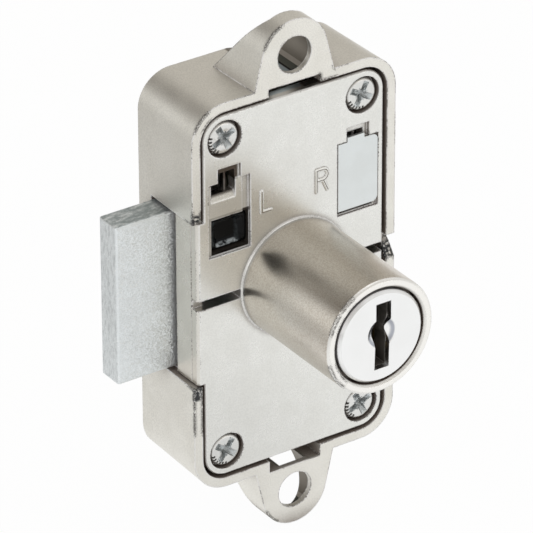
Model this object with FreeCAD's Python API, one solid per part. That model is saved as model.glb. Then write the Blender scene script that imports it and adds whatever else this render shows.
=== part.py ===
import FreeCAD, Part
import math
import os

# A drawer lock: a die-cast box that screws behind a drawer front, with a
# barrel that passes through the front and a flat bolt that slides sideways.
# Millimetres. X to the right, Y to the back, Z up. The origin is on the
# barrel's axis, at the face that lies against the drawer front.

# Housing, an open box with rounded corners and a little casting draft.
BODY_W = 34.8
BODY_H = 62.6
BODY_D = 14.4
BODY_DRAFT = 0.25
BODY_CORNER = 5.6
BODY_WALL = 1.45
BACK_WALL = 1.5
BACK_BEVEL = 0.25

# Ears at the top and bottom, with a gusset behind each one.
EAR_PITCH = 71.4
EAR_SHIFT = -0.3
EAR_END_R = 5.55
EAR_ROOT_HALF = 7.0
EAR_ROOT_Z = 30.4
EAR_PLATE = 2.8
EAR_HOLE_R = 2.85
EAR_LIP = 0.9
EAR_TIP_DROP = 0.5
GUSSET_SLOPE = 0.815
GUSSET_SINK = 0.2
DRIVER_WAY_R = 4.8
ROOT_NOTCH_HALF = 4.4
ROOT_NOTCH_TO_HOLE = 4.3
ROOT_NOTCH_DEEP = 3.6

# Side opening for the bolt and the cover's flange.
SIDE_SLOT_HALF = 13.4
SIDE_SLOT_BACK_GAP = 0.3
RIM_GAP_HIGH = 1.45
RIM_GAP_FLAT = 1.2
RIM_GAP_RAMP = 2.6
RIM_GAP_DEEP = 2.1

# Cover plate, one casting with the barrel tube.
COVER_GAP = 0.55
COVER_SET_IN = 0.15
COVER_T = 2.2
COVER_CHAMFER = 0.2
FLANGE_HALF = 13.1
FLANGE_INSET = 0.8
FLANGE_BACK = 5.55
FLANGE_BEVEL = 0.4
FLANGE_STEP = 0.06
FLANGE_STEP_DEEP = 1.6
FLANGE_LAP = 1.0
SLOT_LOW = -0.95
SLOT_HIGH = 0.6
SLOT_SHELF = 1.7
SLOT_SHELF_DEEP = 1.4

# Handing windows, mirrored about the barrel.
WINDOW_EDGE = 0.85
WINDOW_W = 7.1
WINDOW_LOW = 7.0
WINDOW_HIGH = 18.75
WINDOW_DEEP = 0.45
WINDOW_NOTCH_HALF = 1.95
WINDOW_NOTCH_TOP = 20.95
NOTCH_SHELF = 1.0
NOTCH_SHELF_DEEP = 0.6
WINDOW_STEP_W = 1.1
WINDOW_STEP_DEEP = 0.15
HATCH_INSET = 0.1
HATCH_W = 6.3
HATCH_HIGH = 12.8
CATCH_W = 4.1
CATCH_LOW = 16.55
CATCH_BEVEL = 1.0
CATCH_RIB_T = 0.3
CATCH_RIB_SET = 1.3

# Cover screws, pan heads with a cross recess.
SCREW_EDGE_X = 3.65
SCREW_EDGE_Z = 3.8
SCREW_R = 1.45
SCREW_FIT = 0.05
SCREW_HEAD_R = 2.6
SCREW_HEAD_H = 1.45
SCREW_TOP_R = 2.1
SCREW_LENGTH = 8.2
SCREW_WELL_R = 2.9
SCREW_WELL_DEEP = 1.7
SCREW_PAD_R = 3.6
SCREW_PAD_T = 1.0
POST_R = 3.3
POST_GAP = 0.05
CROSS_W = 0.9
CROSS_REACH = 1.75
CROSS_DEEP = 1.0

# Barrel tube.
TUBE_R = 9.0
TUBE_BORE_R = 7.6
TUBE_LONG = 21.3
TUBE_EDGE = 0.3
TUBE_LIP = 0.3
TUBE_ROOT = 0.2

# Core sleeve pressed into the tube, with a groove above and below the plug.
SLEEVE_FIT = 0.03
SLEEVE_HEAD_GAP = 0.07
SLEEVE_INSET = 0.6
SLEEVE_GROOVE_HALF = 3.2
SLEEVE_GROOVE_R = 7.1
SLEEVE_LAND = 1.05
SLEEVE_PIN_R = 0.6
SLEEVE_PIN_Y = -1.6
SLEEVE_PIN_SINK = 0.12

# Plug that the key turns, and its polished face cap.
PLUG_R = 6.2
PLUG_FIT = 0.05
PLUG_HEAD_R = 7.0
PLUG_HEAD_T = 0.9
CAP_R = 7.2
CAP_T = 1.0
CAP_PROUD = 0.12
CAP_BEVEL = 0.4
DIMPLE_R = 2.4
DIMPLE_DEEP = 0.75
DIMPLE_X = 0.15
DIMPLE_Z = 0.6
KEYWAY_END = -2.6
KEYWAY_TOP = 5.4
KEYWAY_FOOT = -5.1
KEYWAY_RIGHT = [(1.70, 2.90), (1.50, 2.05), (0.98, 1.20), (1.18, 0.20),
                (1.47, -0.80), (1.42, -1.60)]
KEYWAY_RIGHT_FOOT = 1.35
KEYWAY_LEFT = [(-0.84, 2.60), (-1.02, 1.95), (-1.36, 1.20), (-1.32, 0.30),
               (-1.00, -0.70), (-0.98, -1.50)]
KEYWAY_LEFT_FOOT = -1.1

# Wafers in the plug, one slot each, with a small spring beside each one.
WAFER_COUNT = 6
WAFER_LEAD_IN = 2.25
WAFER_TAIL = 3.15
WAFER_T = 1.0
WAFER_FIT = 0.05
WAFER_HALF_W = 2.9
WAFER_HALF_H = 5.0
WAFER_HOLE_HALF = 1.9
WAFER_HOLE_H = 3.5
WAFER_TRAVEL = 0.5
WAFER_LUG_OUT = 4.1
WAFER_LUG_LOW = 0.6
WAFER_LUG_H = 1.0
SPRING_WELL_LOW = -3.2
SPRING_R = 0.38
SPRING_WIRE = 0.12
SPRING_TURNS = 3
SPRING_SIDES = 6
SPRING_X = 3.55
SPRING_END_GAP = 0.02

# Back of the plug: neck, thrust washer, retaining ring and drive flats.
NECK_R = 4.6
NECK_LONG = 1.2
WASHER_FRONT_GAP = 0.05
WASHER_T = 0.45
WASHER_R = 7.2
WASHER_FIT = 0.1
RING_T = 0.5
RING_GROOVE_R = 3.9
RING_GROOVE_FIT = 0.05
RING_R = 6.1
RING_MOUTH = 3.4
SPIGOT_R = 3.4
SPIGOT_FLAT = 2.6
SPIGOT_SHORT = 0.1
SPIGOT_FIT = 0.04

# Driver disc with an eccentric pin that carries the bolt.
DISC_GAP = 0.65
DISC_T = 1.8
DISC_R = 9.3
DISC_STOP_R = 7.6
BOLT_THROW = 9.5
TURN_DEG = 90.0
DRIVE_PIN_R = 1.5
DRIVE_PIN_ROOT_R = 1.0
DRIVE_PIN_SHORT = 0.35
STOP_PIN_R = 0.7
STOP_PIN_AT = 8.5
STOP_PIN_SHORT = 0.3
STOP_PIN_SINK = 1.05
STOP_GAP = 0.15
CAM_SCREW_R = 1.25
CAM_SCREW_HEAD_R = 2.5
CAM_SCREW_HEAD_H = 0.9
CAM_SCREW_LONG = 5.6
CAM_WASHER_R = 3.1
CAM_WASHER_T = 0.3

# Bolt.
BOLT_FRONT = 6.35
BOLT_T = 4.3
BOLT_HALF_H = 12.8
BOLT_REACH = 8.8
BOLT_TAIL = 5.6
BOLT_EDGE = 0.4
BOLT_SLOT_PLAY = 0.3
RAIL_GAP = 0.1
RAIL_T = 1.4
RAIL_FRONT = 5.7
RAIL_REST_HALF = 1.5
RAIL_REST_Z = 10.2

# Black glide block behind the bare window, and the plate in the other one.
GLIDE_FIT = 0.1
GLIDE_LIP = 1.6
GLIDE_SET = 1.0
GLIDE_GAP = 0.1
GLIDE_RIM = 0.5
GLIDE_DISH_SLOPE = 0.9
GLIDE_DISH_CORNER = 1.3
GLIDE_DISH_DEEP = 0.9
GLIDE_ROUND = 1.1
GLIDE_LEG = 1.0
GLIDE_POCKET_T = 1.4
INSERT_GAP = 0.12
INSERT_PROUD = 0.03
INSERT_LOW = 0.75
INSERT_CORNER = 0.9
INSERT_TONGUE = 0.6
INSERT_PLUG_T = 1.9


def box(x0, x1, y0, y1, z0, z1):
    corner = FreeCAD.Vector(min(x0, x1), min(y0, y1), min(z0, z1))
    return Part.makeBox(abs(x1 - x0), abs(y1 - y0), abs(z1 - z0), corner)


def rod(radius, y0, y1, x=0.0, z=0.0):
    foot = FreeCAD.Vector(x, y0, z)
    return Part.makeCylinder(radius, y1 - y0, foot, FreeCAD.Vector(0, 1, 0))


def cone(r0, r1, y0, y1, x=0.0, z=0.0):
    foot = FreeCAD.Vector(x, y0, z)
    return Part.makeCone(r0, r1, y1 - y0, foot, FreeCAD.Vector(0, 1, 0))


def rounded_wire(half_w, half_h, radius, y):
    points = []
    centres = [(half_w - radius, half_h - radius, 0.0),
               (radius - half_w, half_h - radius, 90.0),
               (radius - half_w, radius - half_h, 180.0),
               (half_w - radius, radius - half_h, 270.0)]
    edges = []
    for cx, cz, start in centres:
        arc = []
        for turn in (0.0, 45.0, 90.0):
            a = math.radians(start + turn)
            arc.append(FreeCAD.Vector(cx + radius * math.cos(a), y,
                                      cz + radius * math.sin(a)))
        points.append(arc)
    for i in range(4):
        a, b, c = points[i]
        after = points[(i + 1) % 4][0]
        edges.append(Part.Arc(a, b, c).toShape())
        edges.append(Part.LineSegment(c, after).toShape())
    return Part.Wire(edges)


def rounded_block(half_w, half_h, radius, y0, y1):
    face = Part.Face(rounded_wire(half_w, half_h, radius, y0))
    return face.extrude(FreeCAD.Vector(0, y1 - y0, 0))


def prism_y(points, y0, y1):
    ring = [FreeCAD.Vector(x, y0, z) for x, z in points]
    ring.append(ring[0])
    face = Part.Face(Part.makePolygon(ring))
    return face.extrude(FreeCAD.Vector(0, y1 - y0, 0))


def prism_z(points, z0, z1):
    corners = [FreeCAD.Vector(x, y, z0) for x, y in points]
    face = Part.Face(Part.makePolygon(corners + [corners[0]]))
    return face.extrude(FreeCAD.Vector(0, 0, z1 - z0))


def octagon(radius, y0, y1, x=0.0, z=0.0):
    # An eight-sided post, its size measured across the corners.
    ring = []
    for k in range(8):
        a = math.radians(22.5 + 45.0 * k)
        ring.append((x + radius * math.cos(a), z + radius * math.sin(a)))
    return prism_y(ring, y0, y1)


def prism_x(points, x0, x1):
    ring = [FreeCAD.Vector(x0, y, z) for y, z in points]
    ring.append(ring[0])
    face = Part.Face(Part.makePolygon(ring))
    return face.extrude(FreeCAD.Vector(x1 - x0, 0, 0))


def upright_edges(shape, test):
    chosen = []
    for edge in shape.Edges:
        bb = edge.BoundBox
        if bb.ZLength > 1.0 and bb.XLength < 1e-4 and bb.YLength < 1e-4:
            if test(bb.XMin, bb.YMin):
                chosen.append(edge)
    return chosen


def keyway(y0, y1, waved):
    # The key's profile: straight above and below, waved in the middle. Where
    # it doesn't show, straight runs join the same points.
    def wave(points):
        places = [FreeCAD.Vector(x, y0, z) for x, z in points]
        if waved:
            curve = Part.BSplineCurve()
            curve.interpolate(places)
            return [curve.toShape()]
        return [Part.makeLine(places[i], places[i + 1])
                for i in range(len(places) - 1)]

    def line(a, b):
        return Part.makeLine(FreeCAD.Vector(a[0], y0, a[1]),
                             FreeCAD.Vector(b[0], y0, b[1]))

    top_right = (KEYWAY_RIGHT[0][0], KEYWAY_TOP)
    top_left = (KEYWAY_LEFT[0][0], KEYWAY_TOP)
    foot_right = (KEYWAY_RIGHT_FOOT, KEYWAY_FOOT)
    foot_left = (KEYWAY_LEFT_FOOT, KEYWAY_FOOT)
    edges = [line(top_left, top_right), line(top_right, KEYWAY_RIGHT[0]),
             *wave(KEYWAY_RIGHT), line(KEYWAY_RIGHT[-1], foot_right),
             line(foot_right, foot_left), line(foot_left, KEYWAY_LEFT[-1]),
             *wave(KEYWAY_LEFT[::-1]), line(KEYWAY_LEFT[0], top_left)]
    face = Part.Face(Part.Wire(edges))
    return face.extrude(FreeCAD.Vector(0, y1 - y0, 0))


def save(name, shape):
    clean = shape.removeSplitter()
    if clean.isValid():
        shape = clean
    solids = shape.Solids
    result = solids[0] if len(solids) == 1 else Part.makeCompound(solids)
    print(name, "solids", len(solids), "volume", round(result.Volume, 2))
    result.exportStep("parts/" + name + ".step")


# Sizes that follow from the ones above.
half_w = BODY_W / 2.0
half_h = BODY_H / 2.0
inside_w = half_w - BODY_WALL
inside_h = half_h - BODY_WALL
inside_r = BODY_CORNER - BODY_WALL
floor_y = BODY_D - BACK_WALL
cover_w = inside_w - COVER_GAP
cover_h = inside_h - COVER_GAP
cover_r = inside_r - COVER_GAP
cover_front = COVER_SET_IN
cover_back = COVER_SET_IN + COVER_T
ear_top_z = EAR_PITCH / 2.0 + EAR_SHIFT
ear_low_z = EAR_SHIFT - EAR_PITCH / 2.0
pad_back = cover_back + SCREW_PAD_T
screw_x = cover_w - SCREW_EDGE_X
screw_z = cover_h - SCREW_EDGE_Z
window_out = cover_w - WINDOW_EDGE
window_in = window_out - WINDOW_W
window_mid = (window_in + window_out) / 2.0
hatch_in = window_in + HATCH_INSET
hatch_out = hatch_in + HATCH_W
hatch_low = WINDOW_LOW + 0.15
sleeve_r = TUBE_BORE_R - SLEEVE_FIT
sleeve_bore = PLUG_R + PLUG_FIT
cap_front = -TUBE_LONG - CAP_PROUD
cap_back = cap_front + CAP_T
plug_head_back = cap_back + PLUG_HEAD_T
sleeve_front = plug_head_back + SLEEVE_HEAD_GAP
sleeve_back = cover_back - SLEEVE_INSET
groove_front = sleeve_front + SLEEVE_LAND
groove_back = sleeve_back - SLEEVE_LAND
wafer_first = sleeve_front + WAFER_LEAD_IN
wafer_pitch = (KEYWAY_END - WAFER_TAIL - wafer_first) / (WAFER_COUNT - 1)
neck_end = sleeve_back + NECK_LONG
disc_front = cover_back + DISC_GAP
disc_back = disc_front + DISC_T
spigot_end = disc_back - SPIGOT_SHORT
stop_end = disc_back - STOP_PIN_SHORT
stop_root = cover_back - STOP_PIN_SINK
bolt_back = BOLT_FRONT + BOLT_T
drive_end = bolt_back - DRIVE_PIN_SHORT
glide_front = cover_front + GLIDE_SET
bolt_end_x = -half_w - BOLT_REACH
rail_z = BOLT_HALF_H + RAIL_GAP
turn_half = math.radians(TURN_DEG / 2.0)
crank_r = BOLT_THROW / (2.0 * math.sin(turn_half))
pin_x = -crank_r * math.sin(turn_half)
pin_z = crank_r * math.cos(turn_half)


def slope_error():
    # The bolt follows the turn in a straight ratio while the pin follows a
    # sine, so the slot is wider than the roller by the largest difference.
    worst = 0.0
    for step in range(91):
        angle = math.radians(step) * TURN_DEG / 90.0 - turn_half
        straight = BOLT_THROW * angle / (2.0 * turn_half)
        worst = max(worst, abs(crank_r * math.sin(angle) - straight))
    return worst


slot_half = DRIVE_PIN_R + slope_error() + BOLT_SLOT_PLAY


def ear_outline(side, centre_z, grow=0.0):
    # Straight sides from the root run tangent onto the round end.
    radius = EAR_END_R + grow
    root = EAR_ROOT_HALF + grow
    drop = abs(centre_z) - EAR_ROOT_Z
    span = math.hypot(root, drop)
    base = math.atan2(-drop, root)
    touch = base + math.acos(radius / span)
    tx = radius * math.cos(touch)
    tz = abs(centre_z) + radius * math.sin(touch)
    inward = EAR_ROOT_Z - BODY_WALL
    right = FreeCAD.Vector(tx, 0, side * tz)
    left = FreeCAD.Vector(-tx, 0, side * tz)
    tip = FreeCAD.Vector(0, 0, side * (abs(centre_z) + radius))
    foot_r = FreeCAD.Vector(root, 0, side * EAR_ROOT_Z)
    foot_l = FreeCAD.Vector(-root, 0, side * EAR_ROOT_Z)
    deep_r = FreeCAD.Vector(root, 0, side * inward)
    deep_l = FreeCAD.Vector(-root, 0, side * inward)
    edges = [Part.LineSegment(deep_r, foot_r).toShape(),
             Part.LineSegment(foot_r, right).toShape(),
             Part.Arc(right, tip, left).toShape(),
             Part.LineSegment(left, foot_l).toShape(),
             Part.LineSegment(foot_l, deep_l).toShape(),
             Part.LineSegment(deep_l, deep_r).toShape()]
    return Part.Face(Part.Wire(edges))


def make_ear(side, centre_z):
    # The outline runs back as far as a slanted plane lets it, from the back
    # of the ear's tip down into the box's wall.
    tip = abs(centre_z) + EAR_END_R
    high = tip - EAR_TIP_DROP
    low = half_h - BODY_DRAFT - BACK_BEVEL - GUSSET_SINK
    far = EAR_PLATE + GUSSET_SLOPE * (high - low)
    block = ear_outline(side, centre_z).extrude(FreeCAD.Vector(0, BODY_D, 0))
    above = tip + EAR_END_R
    behind = BODY_D + 1.0
    slant = [(EAR_PLATE, side * high), (EAR_PLATE, side * above),
             (behind, side * above), (behind, side * low),
             (far, side * low)]
    return block.cut(prism_x(slant, -half_w, half_w))


def cut_ear(body, side, centre_z):
    # A thin lip holds the screw's head, with the wide way right behind it.
    hole = rod(EAR_HOLE_R, -1.0, EAR_LIP + 1.0, 0.0, centre_z)
    way = rod(DRIVER_WAY_R, EAR_LIP, BODY_D + 2.0, 0.0, centre_z)
    top = abs(centre_z) - ROOT_NOTCH_TO_HOLE
    notch = box(-ROOT_NOTCH_HALF, ROOT_NOTCH_HALF, -1.0, ROOT_NOTCH_DEEP,
                side * (inside_h - 0.5), side * top)
    for tool in (hole, way, notch):
        body = body.cut(tool)
    return body


def make_housing():
    # The sides draw in a little, and the back edge has a small bevel.
    slices = [(0.0, 0.0), (BODY_DRAFT, BODY_D - BACK_BEVEL),
              (BODY_DRAFT + BACK_BEVEL, BODY_D)]
    rings = [rounded_wire(half_w - inset, half_h - inset,
                          BODY_CORNER - inset, y) for inset, y in slices]
    body = Part.makeLoft(rings, True, True)
    body = body.fuse(make_ear(1, ear_top_z))
    body = body.fuse(make_ear(-1, ear_low_z))
    inner = rounded_block(inside_w, inside_h, inside_r, -1.0, floor_y)
    body = body.cut(inner)
    # Rails above and below the bolt, and low rests behind it.
    reach = inside_w + 0.5
    for side in (-1, 1):
        rail = box(-reach, reach, RAIL_FRONT, floor_y + 0.3,
                   side * rail_z, side * (rail_z + RAIL_T))
        body = body.fuse(rail)
        rest = box(-reach, reach, bolt_back + RAIL_GAP, floor_y + 0.3,
                   side * (RAIL_REST_Z - RAIL_REST_HALF),
                   side * (RAIL_REST_Z + RAIL_REST_HALF))
        body = body.fuse(rest)
    for sx in (-1, 1):
        for sz in (-1, 1):
            post = octagon(POST_R, pad_back + POST_GAP, floor_y + 0.3,
                           sx * screw_x, sz * screw_z)
            body = body.fuse(post)
    for sx in (-1, 1):
        for sz in (-1, 1):
            pilot = rod(SCREW_R + SCREW_FIT, 0.0, floor_y - 0.8,
                        sx * screw_x, sz * screw_z)
            body = body.cut(pilot)
    # Side opening: open to the front, closed behind the bolt.
    side_slot = box(-half_w - 2.0, -inside_w + 0.2, -1.0,
                    bolt_back + SIDE_SLOT_BACK_GAP,
                    -SIDE_SLOT_HALF, SIDE_SLOT_HALF)
    body = body.cut(side_slot)
    # Notch in the right rim, square above and ramped below.
    flat_z = RIM_GAP_HIGH - RIM_GAP_FLAT
    ramp_z = flat_z - RIM_GAP_RAMP
    rim_gap = [(-1.0, RIM_GAP_HIGH), (RIM_GAP_DEEP, RIM_GAP_HIGH),
               (RIM_GAP_DEEP, flat_z),
               (RIM_GAP_DEEP * 0.65, flat_z - RIM_GAP_RAMP * 0.25),
               (0.0, ramp_z), (-1.0, ramp_z)]
    body = body.cut(prism_x(rim_gap, inside_w - 0.2, half_w + 2.0))
    body = cut_ear(body, 1, ear_top_z)
    body = cut_ear(body, -1, ear_low_z)
    return body


def make_cover():
    plate = rounded_block(cover_w, cover_h, cover_r, cover_front, cover_back)
    rim = []
    for edge in plate.Edges:
        if edge.BoundBox.YMax < cover_front + 1e-3:
            rim.append(edge)
    plate = plate.makeChamfer(COVER_CHAMFER, rim)
    # Flange that fills the side opening in front of the bolt. Its side has a
    # faint step where the two halves of the mould met.
    side = -half_w + FLANGE_INSET
    inner = -inside_w + FLANGE_LAP
    stepped = side + FLANGE_STEP
    split = cover_front + FLANGE_STEP_DEEP
    outline = [(stepped + FLANGE_BEVEL, cover_front), (inner, cover_front),
               (inner, FLANGE_BACK), (side, FLANGE_BACK), (side, split),
               (stepped, split), (stepped, cover_front + FLANGE_BEVEL)]
    flange = prism_z(outline, -FLANGE_HALF, FLANGE_HALF)
    plate = plate.fuse(flange)
    for sx in (-1, 1):
        for sz in (-1, 1):
            pad = octagon(SCREW_PAD_R, cover_back - 0.2, pad_back,
                          sx * screw_x, sz * screw_z)
            plate = plate.fuse(pad)
    # Pocket wall that holds the glide block behind the bare window.
    lip_top = HATCH_HIGH + GLIDE_LIP + GLIDE_FIT
    shelf = box(-hatch_out, -hatch_in, cover_back - 0.2,
                cover_back + GLIDE_POCKET_T, lip_top, lip_top + GLIDE_LEG)
    plate = plate.fuse(shelf)
    tube = rod(TUBE_R, -TUBE_LONG, cover_front + 0.3)
    front_edge = [e for e in tube.Edges
                  if e.BoundBox.YMax < -TUBE_LONG + 1e-3]
    tube = tube.makeChamfer(TUBE_EDGE, front_edge)
    root = cone(TUBE_R, TUBE_R + TUBE_ROOT, cover_front - TUBE_ROOT,
                cover_front)
    plate = plate.fuse(tube)
    plate = plate.fuse(root)
    bore = rod(TUBE_BORE_R, -TUBE_LONG - 1.0, cover_back + 1.0)
    plate = plate.cut(bore)
    lip = cone(TUBE_BORE_R + TUBE_LIP, TUBE_BORE_R, -TUBE_LONG,
               -TUBE_LONG + TUBE_LIP)
    plate = plate.cut(lip)
    # Horizontal slot on both sides of the tube. Over the flange it is only a
    # shallow notch.
    left = box(side + SLOT_SHELF, -TUBE_R - TUBE_ROOT, cover_front - 1.0,
               cover_back + 1.0, SLOT_LOW, SLOT_HIGH)
    shelf = box(side - 1.0, side + SLOT_SHELF + 0.1, cover_front - 1.0,
                cover_front + SLOT_SHELF_DEEP, SLOT_LOW, SLOT_HIGH)
    left = left.fuse(shelf)
    right = box(TUBE_R + TUBE_ROOT, half_w, cover_front - 1.0,
                cover_back + 1.0, SLOT_LOW, SLOT_HIGH)
    for tool in (left, right):
        plate = plate.cut(tool)
    for sx in (-1, 1):
        for sz in (-1, 1):
            well = rod(SCREW_WELL_R, cover_front - 1.0,
                       cover_front + SCREW_WELL_DEEP,
                       sx * screw_x, sz * screw_z)
            hole = rod(SCREW_R + 0.15, cover_front, pad_back + 1.0,
                       sx * screw_x, sz * screw_z)
            plate = plate.cut(well)
            plate = plate.cut(hole)
    for sx in (-1, 1):
        plate = plate.cut(window_tools(sx))
    for sx in (-1, 1):
        mid = sx * window_mid
        rib = box(mid - CATCH_RIB_T / 2.0, mid + CATCH_RIB_T / 2.0,
                  cover_front + CATCH_RIB_SET, cover_back,
                  CATCH_LOW - 0.2, WINDOW_NOTCH_TOP - NOTCH_SHELF + 0.2)
        plate = plate.fuse(rib)
    stop = rod(STOP_PIN_R - 0.01, stop_root, cover_back + 1.0,
               0.0, -STOP_PIN_AT)
    plate = plate.cut(stop)
    pin = Part.makeCylinder(SLEEVE_PIN_R, TUBE_R,
                            FreeCAD.Vector(0, SLEEVE_PIN_Y, -TUBE_R - 1.0),
                            FreeCAD.Vector(0, 0, 1))
    plate = plate.cut(pin)
    return plate


def window_tools(sx):
    # A shallow recess with a small catch opening above and a hatch below.
    mid = sx * window_mid
    deep = cover_front + WINDOW_DEEP
    past = cover_back + 1.0
    recess = box(sx * window_in, sx * window_out, cover_front - 1.0, deep,
                 WINDOW_LOW, WINDOW_HIGH)
    notch = box(mid - WINDOW_NOTCH_HALF, mid + WINDOW_NOTCH_HALF,
                cover_front - 1.0, cover_front + NOTCH_SHELF_DEEP,
                WINDOW_HIGH - 0.1, WINDOW_NOTCH_TOP)
    # The catch opening lies on the left of its window on both sides.
    if sx < 0:
        left = -hatch_out
    else:
        left = window_in + window_out - hatch_out
    catch = box(left, left + CATCH_W, cover_front, past, CATCH_LOW,
                WINDOW_HIGH)
    above = box(mid - WINDOW_NOTCH_HALF, left + CATCH_W, cover_front, past,
                CATCH_LOW, WINDOW_NOTCH_TOP - NOTCH_SHELF)
    catch = catch.fuse(above)
    bevel = prism_x([(deep, CATCH_LOW - CATCH_BEVEL),
                     (deep - 1.0, CATCH_LOW - CATCH_BEVEL),
                     (deep - 1.0, CATCH_LOW + 0.1),
                     (deep + 0.6, CATCH_LOW + 0.1)], left, left + CATCH_W)
    hatch = box(sx * hatch_in, sx * hatch_out, cover_front, past, hatch_low,
                HATCH_HIGH)
    tools = recess
    for part in (notch, catch, bevel, hatch):
        tools = tools.fuse(part)
    if sx < 0:
        # The bare window's floor has a lower strip along its inner edge.
        step = box(-window_in - WINDOW_STEP_W, -window_in, cover_front,
                   deep + WINDOW_STEP_DEEP, HATCH_HIGH - 0.1, WINDOW_HIGH)
        tools = tools.fuse(step)
    return tools


def make_cover_screws():
    screws = []
    seat = cover_front + SCREW_WELL_DEEP
    for sx in (-1, 1):
        for sz in (-1, 1):
            x = sx * screw_x
            z = sz * screw_z
            top = seat - SCREW_HEAD_H
            head = cone(SCREW_TOP_R, SCREW_HEAD_R, top, seat, x, z)
            shank = rod(SCREW_R, seat - 0.1, seat + SCREW_LENGTH, x, z)
            screw = head.fuse(shank)
            angle = 20.0 if sx * sz > 0 else 55.0
            for turn in (angle, angle + 90.0):
                arm = box(x - CROSS_REACH, x + CROSS_REACH, top - 0.2,
                          top + CROSS_DEEP, z - CROSS_W / 2.0,
                          z + CROSS_W / 2.0)
                arm.rotate(FreeCAD.Vector(x, 0, z),
                           FreeCAD.Vector(0, 1, 0), turn)
                screw = screw.cut(arm)
            screws.append(screw.Solids[0])
    return Part.makeCompound(screws)


def make_insert():
    # The plate that covers the second window, with a plug in the hatch.
    x0 = window_in + INSERT_GAP
    x1 = window_out - INSERT_GAP
    z0 = WINDOW_LOW + INSERT_LOW
    z1 = WINDOW_HIGH - INSERT_GAP
    y0 = cover_front - INSERT_PROUD
    y1 = cover_front + WINDOW_DEEP - 0.02
    plate = box(x0, x1, y0, y1, z0, z1)
    corners = []
    for edge in plate.Edges:
        bb = edge.BoundBox
        if bb.YLength > 0.2 and bb.XMin > x1 - 0.01:
            corners.append(edge)
    plate = plate.makeFillet(INSERT_CORNER, corners)
    # A tongue reaches up into the window's notch.
    tongue_x = window_mid - WINDOW_NOTCH_HALF + INSERT_GAP
    tongue = box(tongue_x, window_in + window_out - hatch_out + CATCH_W - INSERT_GAP, y0,
                 y1, z1 - 0.5, WINDOW_HIGH + INSERT_TONGUE)
    plate = plate.fuse(tongue)
    plug = box(hatch_in + INSERT_GAP, hatch_out - INSERT_GAP, y1 - 0.1,
               cover_front + INSERT_PLUG_T, z0 + 0.05,
               HATCH_HIGH - INSERT_GAP)
    return plate.fuse(plug)


def make_glide():
    # A dished block in the hatch, with a lip behind the cover above it, that
    # bears on the bolt's front.
    x0 = -hatch_out + GLIDE_FIT
    x1 = -hatch_in - GLIDE_FIT
    z0 = hatch_low + GLIDE_FIT
    back = BOLT_FRONT - GLIDE_GAP
    nose = box(x0, x1, glide_front, back, z0, HATCH_HIGH - GLIDE_FIT)
    ends = []
    for edge in nose.Edges:
        bb = edge.BoundBox
        if bb.XLength > 2.0 and bb.YMax < glide_front + 0.01:
            ends.append(edge)
    nose = nose.makeFillet(GLIDE_ROUND, ends)
    lip = box(x0, x1, cover_back + 0.03, RAIL_FRONT - GLIDE_FIT, z0,
              HATCH_HIGH + GLIDE_LIP)
    block = nose.fuse(lip)
    # The dish has sloping sides and leaves a rim all round.
    z1 = HATCH_HIGH - GLIDE_FIT
    reach = (x1 - x0) / 2.0 - GLIDE_RIM
    rise = (z1 - z0) / 2.0 - GLIDE_RIM
    wide = rounded_wire(reach, rise, GLIDE_DISH_CORNER, glide_front - 0.01)
    deep = rounded_wire(reach - GLIDE_DISH_SLOPE, rise - GLIDE_DISH_SLOPE,
                        GLIDE_DISH_CORNER / 2.0,
                        glide_front + GLIDE_DISH_DEEP)
    dish = Part.makeLoft([wide, deep], True, True)
    dish.translate(FreeCAD.Vector((x0 + x1) / 2.0, 0, (z0 + z1) / 2.0))
    return block.cut(dish)


def make_sleeve():
    body = rod(sleeve_r, sleeve_front, sleeve_back)
    body = body.cut(rod(sleeve_bore, sleeve_front - 1.0, sleeve_back + 1.0))
    limit = rod(SLEEVE_GROOVE_R, groove_front, groove_back)
    slab = box(-SLEEVE_GROOVE_HALF, SLEEVE_GROOVE_HALF, groove_front,
               groove_back, -TUBE_R, TUBE_R)
    body = body.cut(limit.common(slab))
    pin = Part.makeCylinder(SLEEVE_PIN_R, TUBE_R,
                            FreeCAD.Vector(0, SLEEVE_PIN_Y, -TUBE_R - 1.0),
                            FreeCAD.Vector(0, 0, 1))
    return body.cut(pin)


def make_sleeve_pin():
    foot = FreeCAD.Vector(0, SLEEVE_PIN_Y, -TUBE_R + SLEEVE_PIN_SINK)
    long = TUBE_R - SLEEVE_PIN_SINK - sleeve_bore - 0.1
    return Part.makeCylinder(SLEEVE_PIN_R - 0.01, long, foot,
                             FreeCAD.Vector(0, 0, 1))


def wafer_y(index):
    return wafer_first + index * wafer_pitch


def wafer_rest():
    # The springs hold every wafer high, and the key draws them down.
    return WAFER_TRAVEL / 2.0


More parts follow.
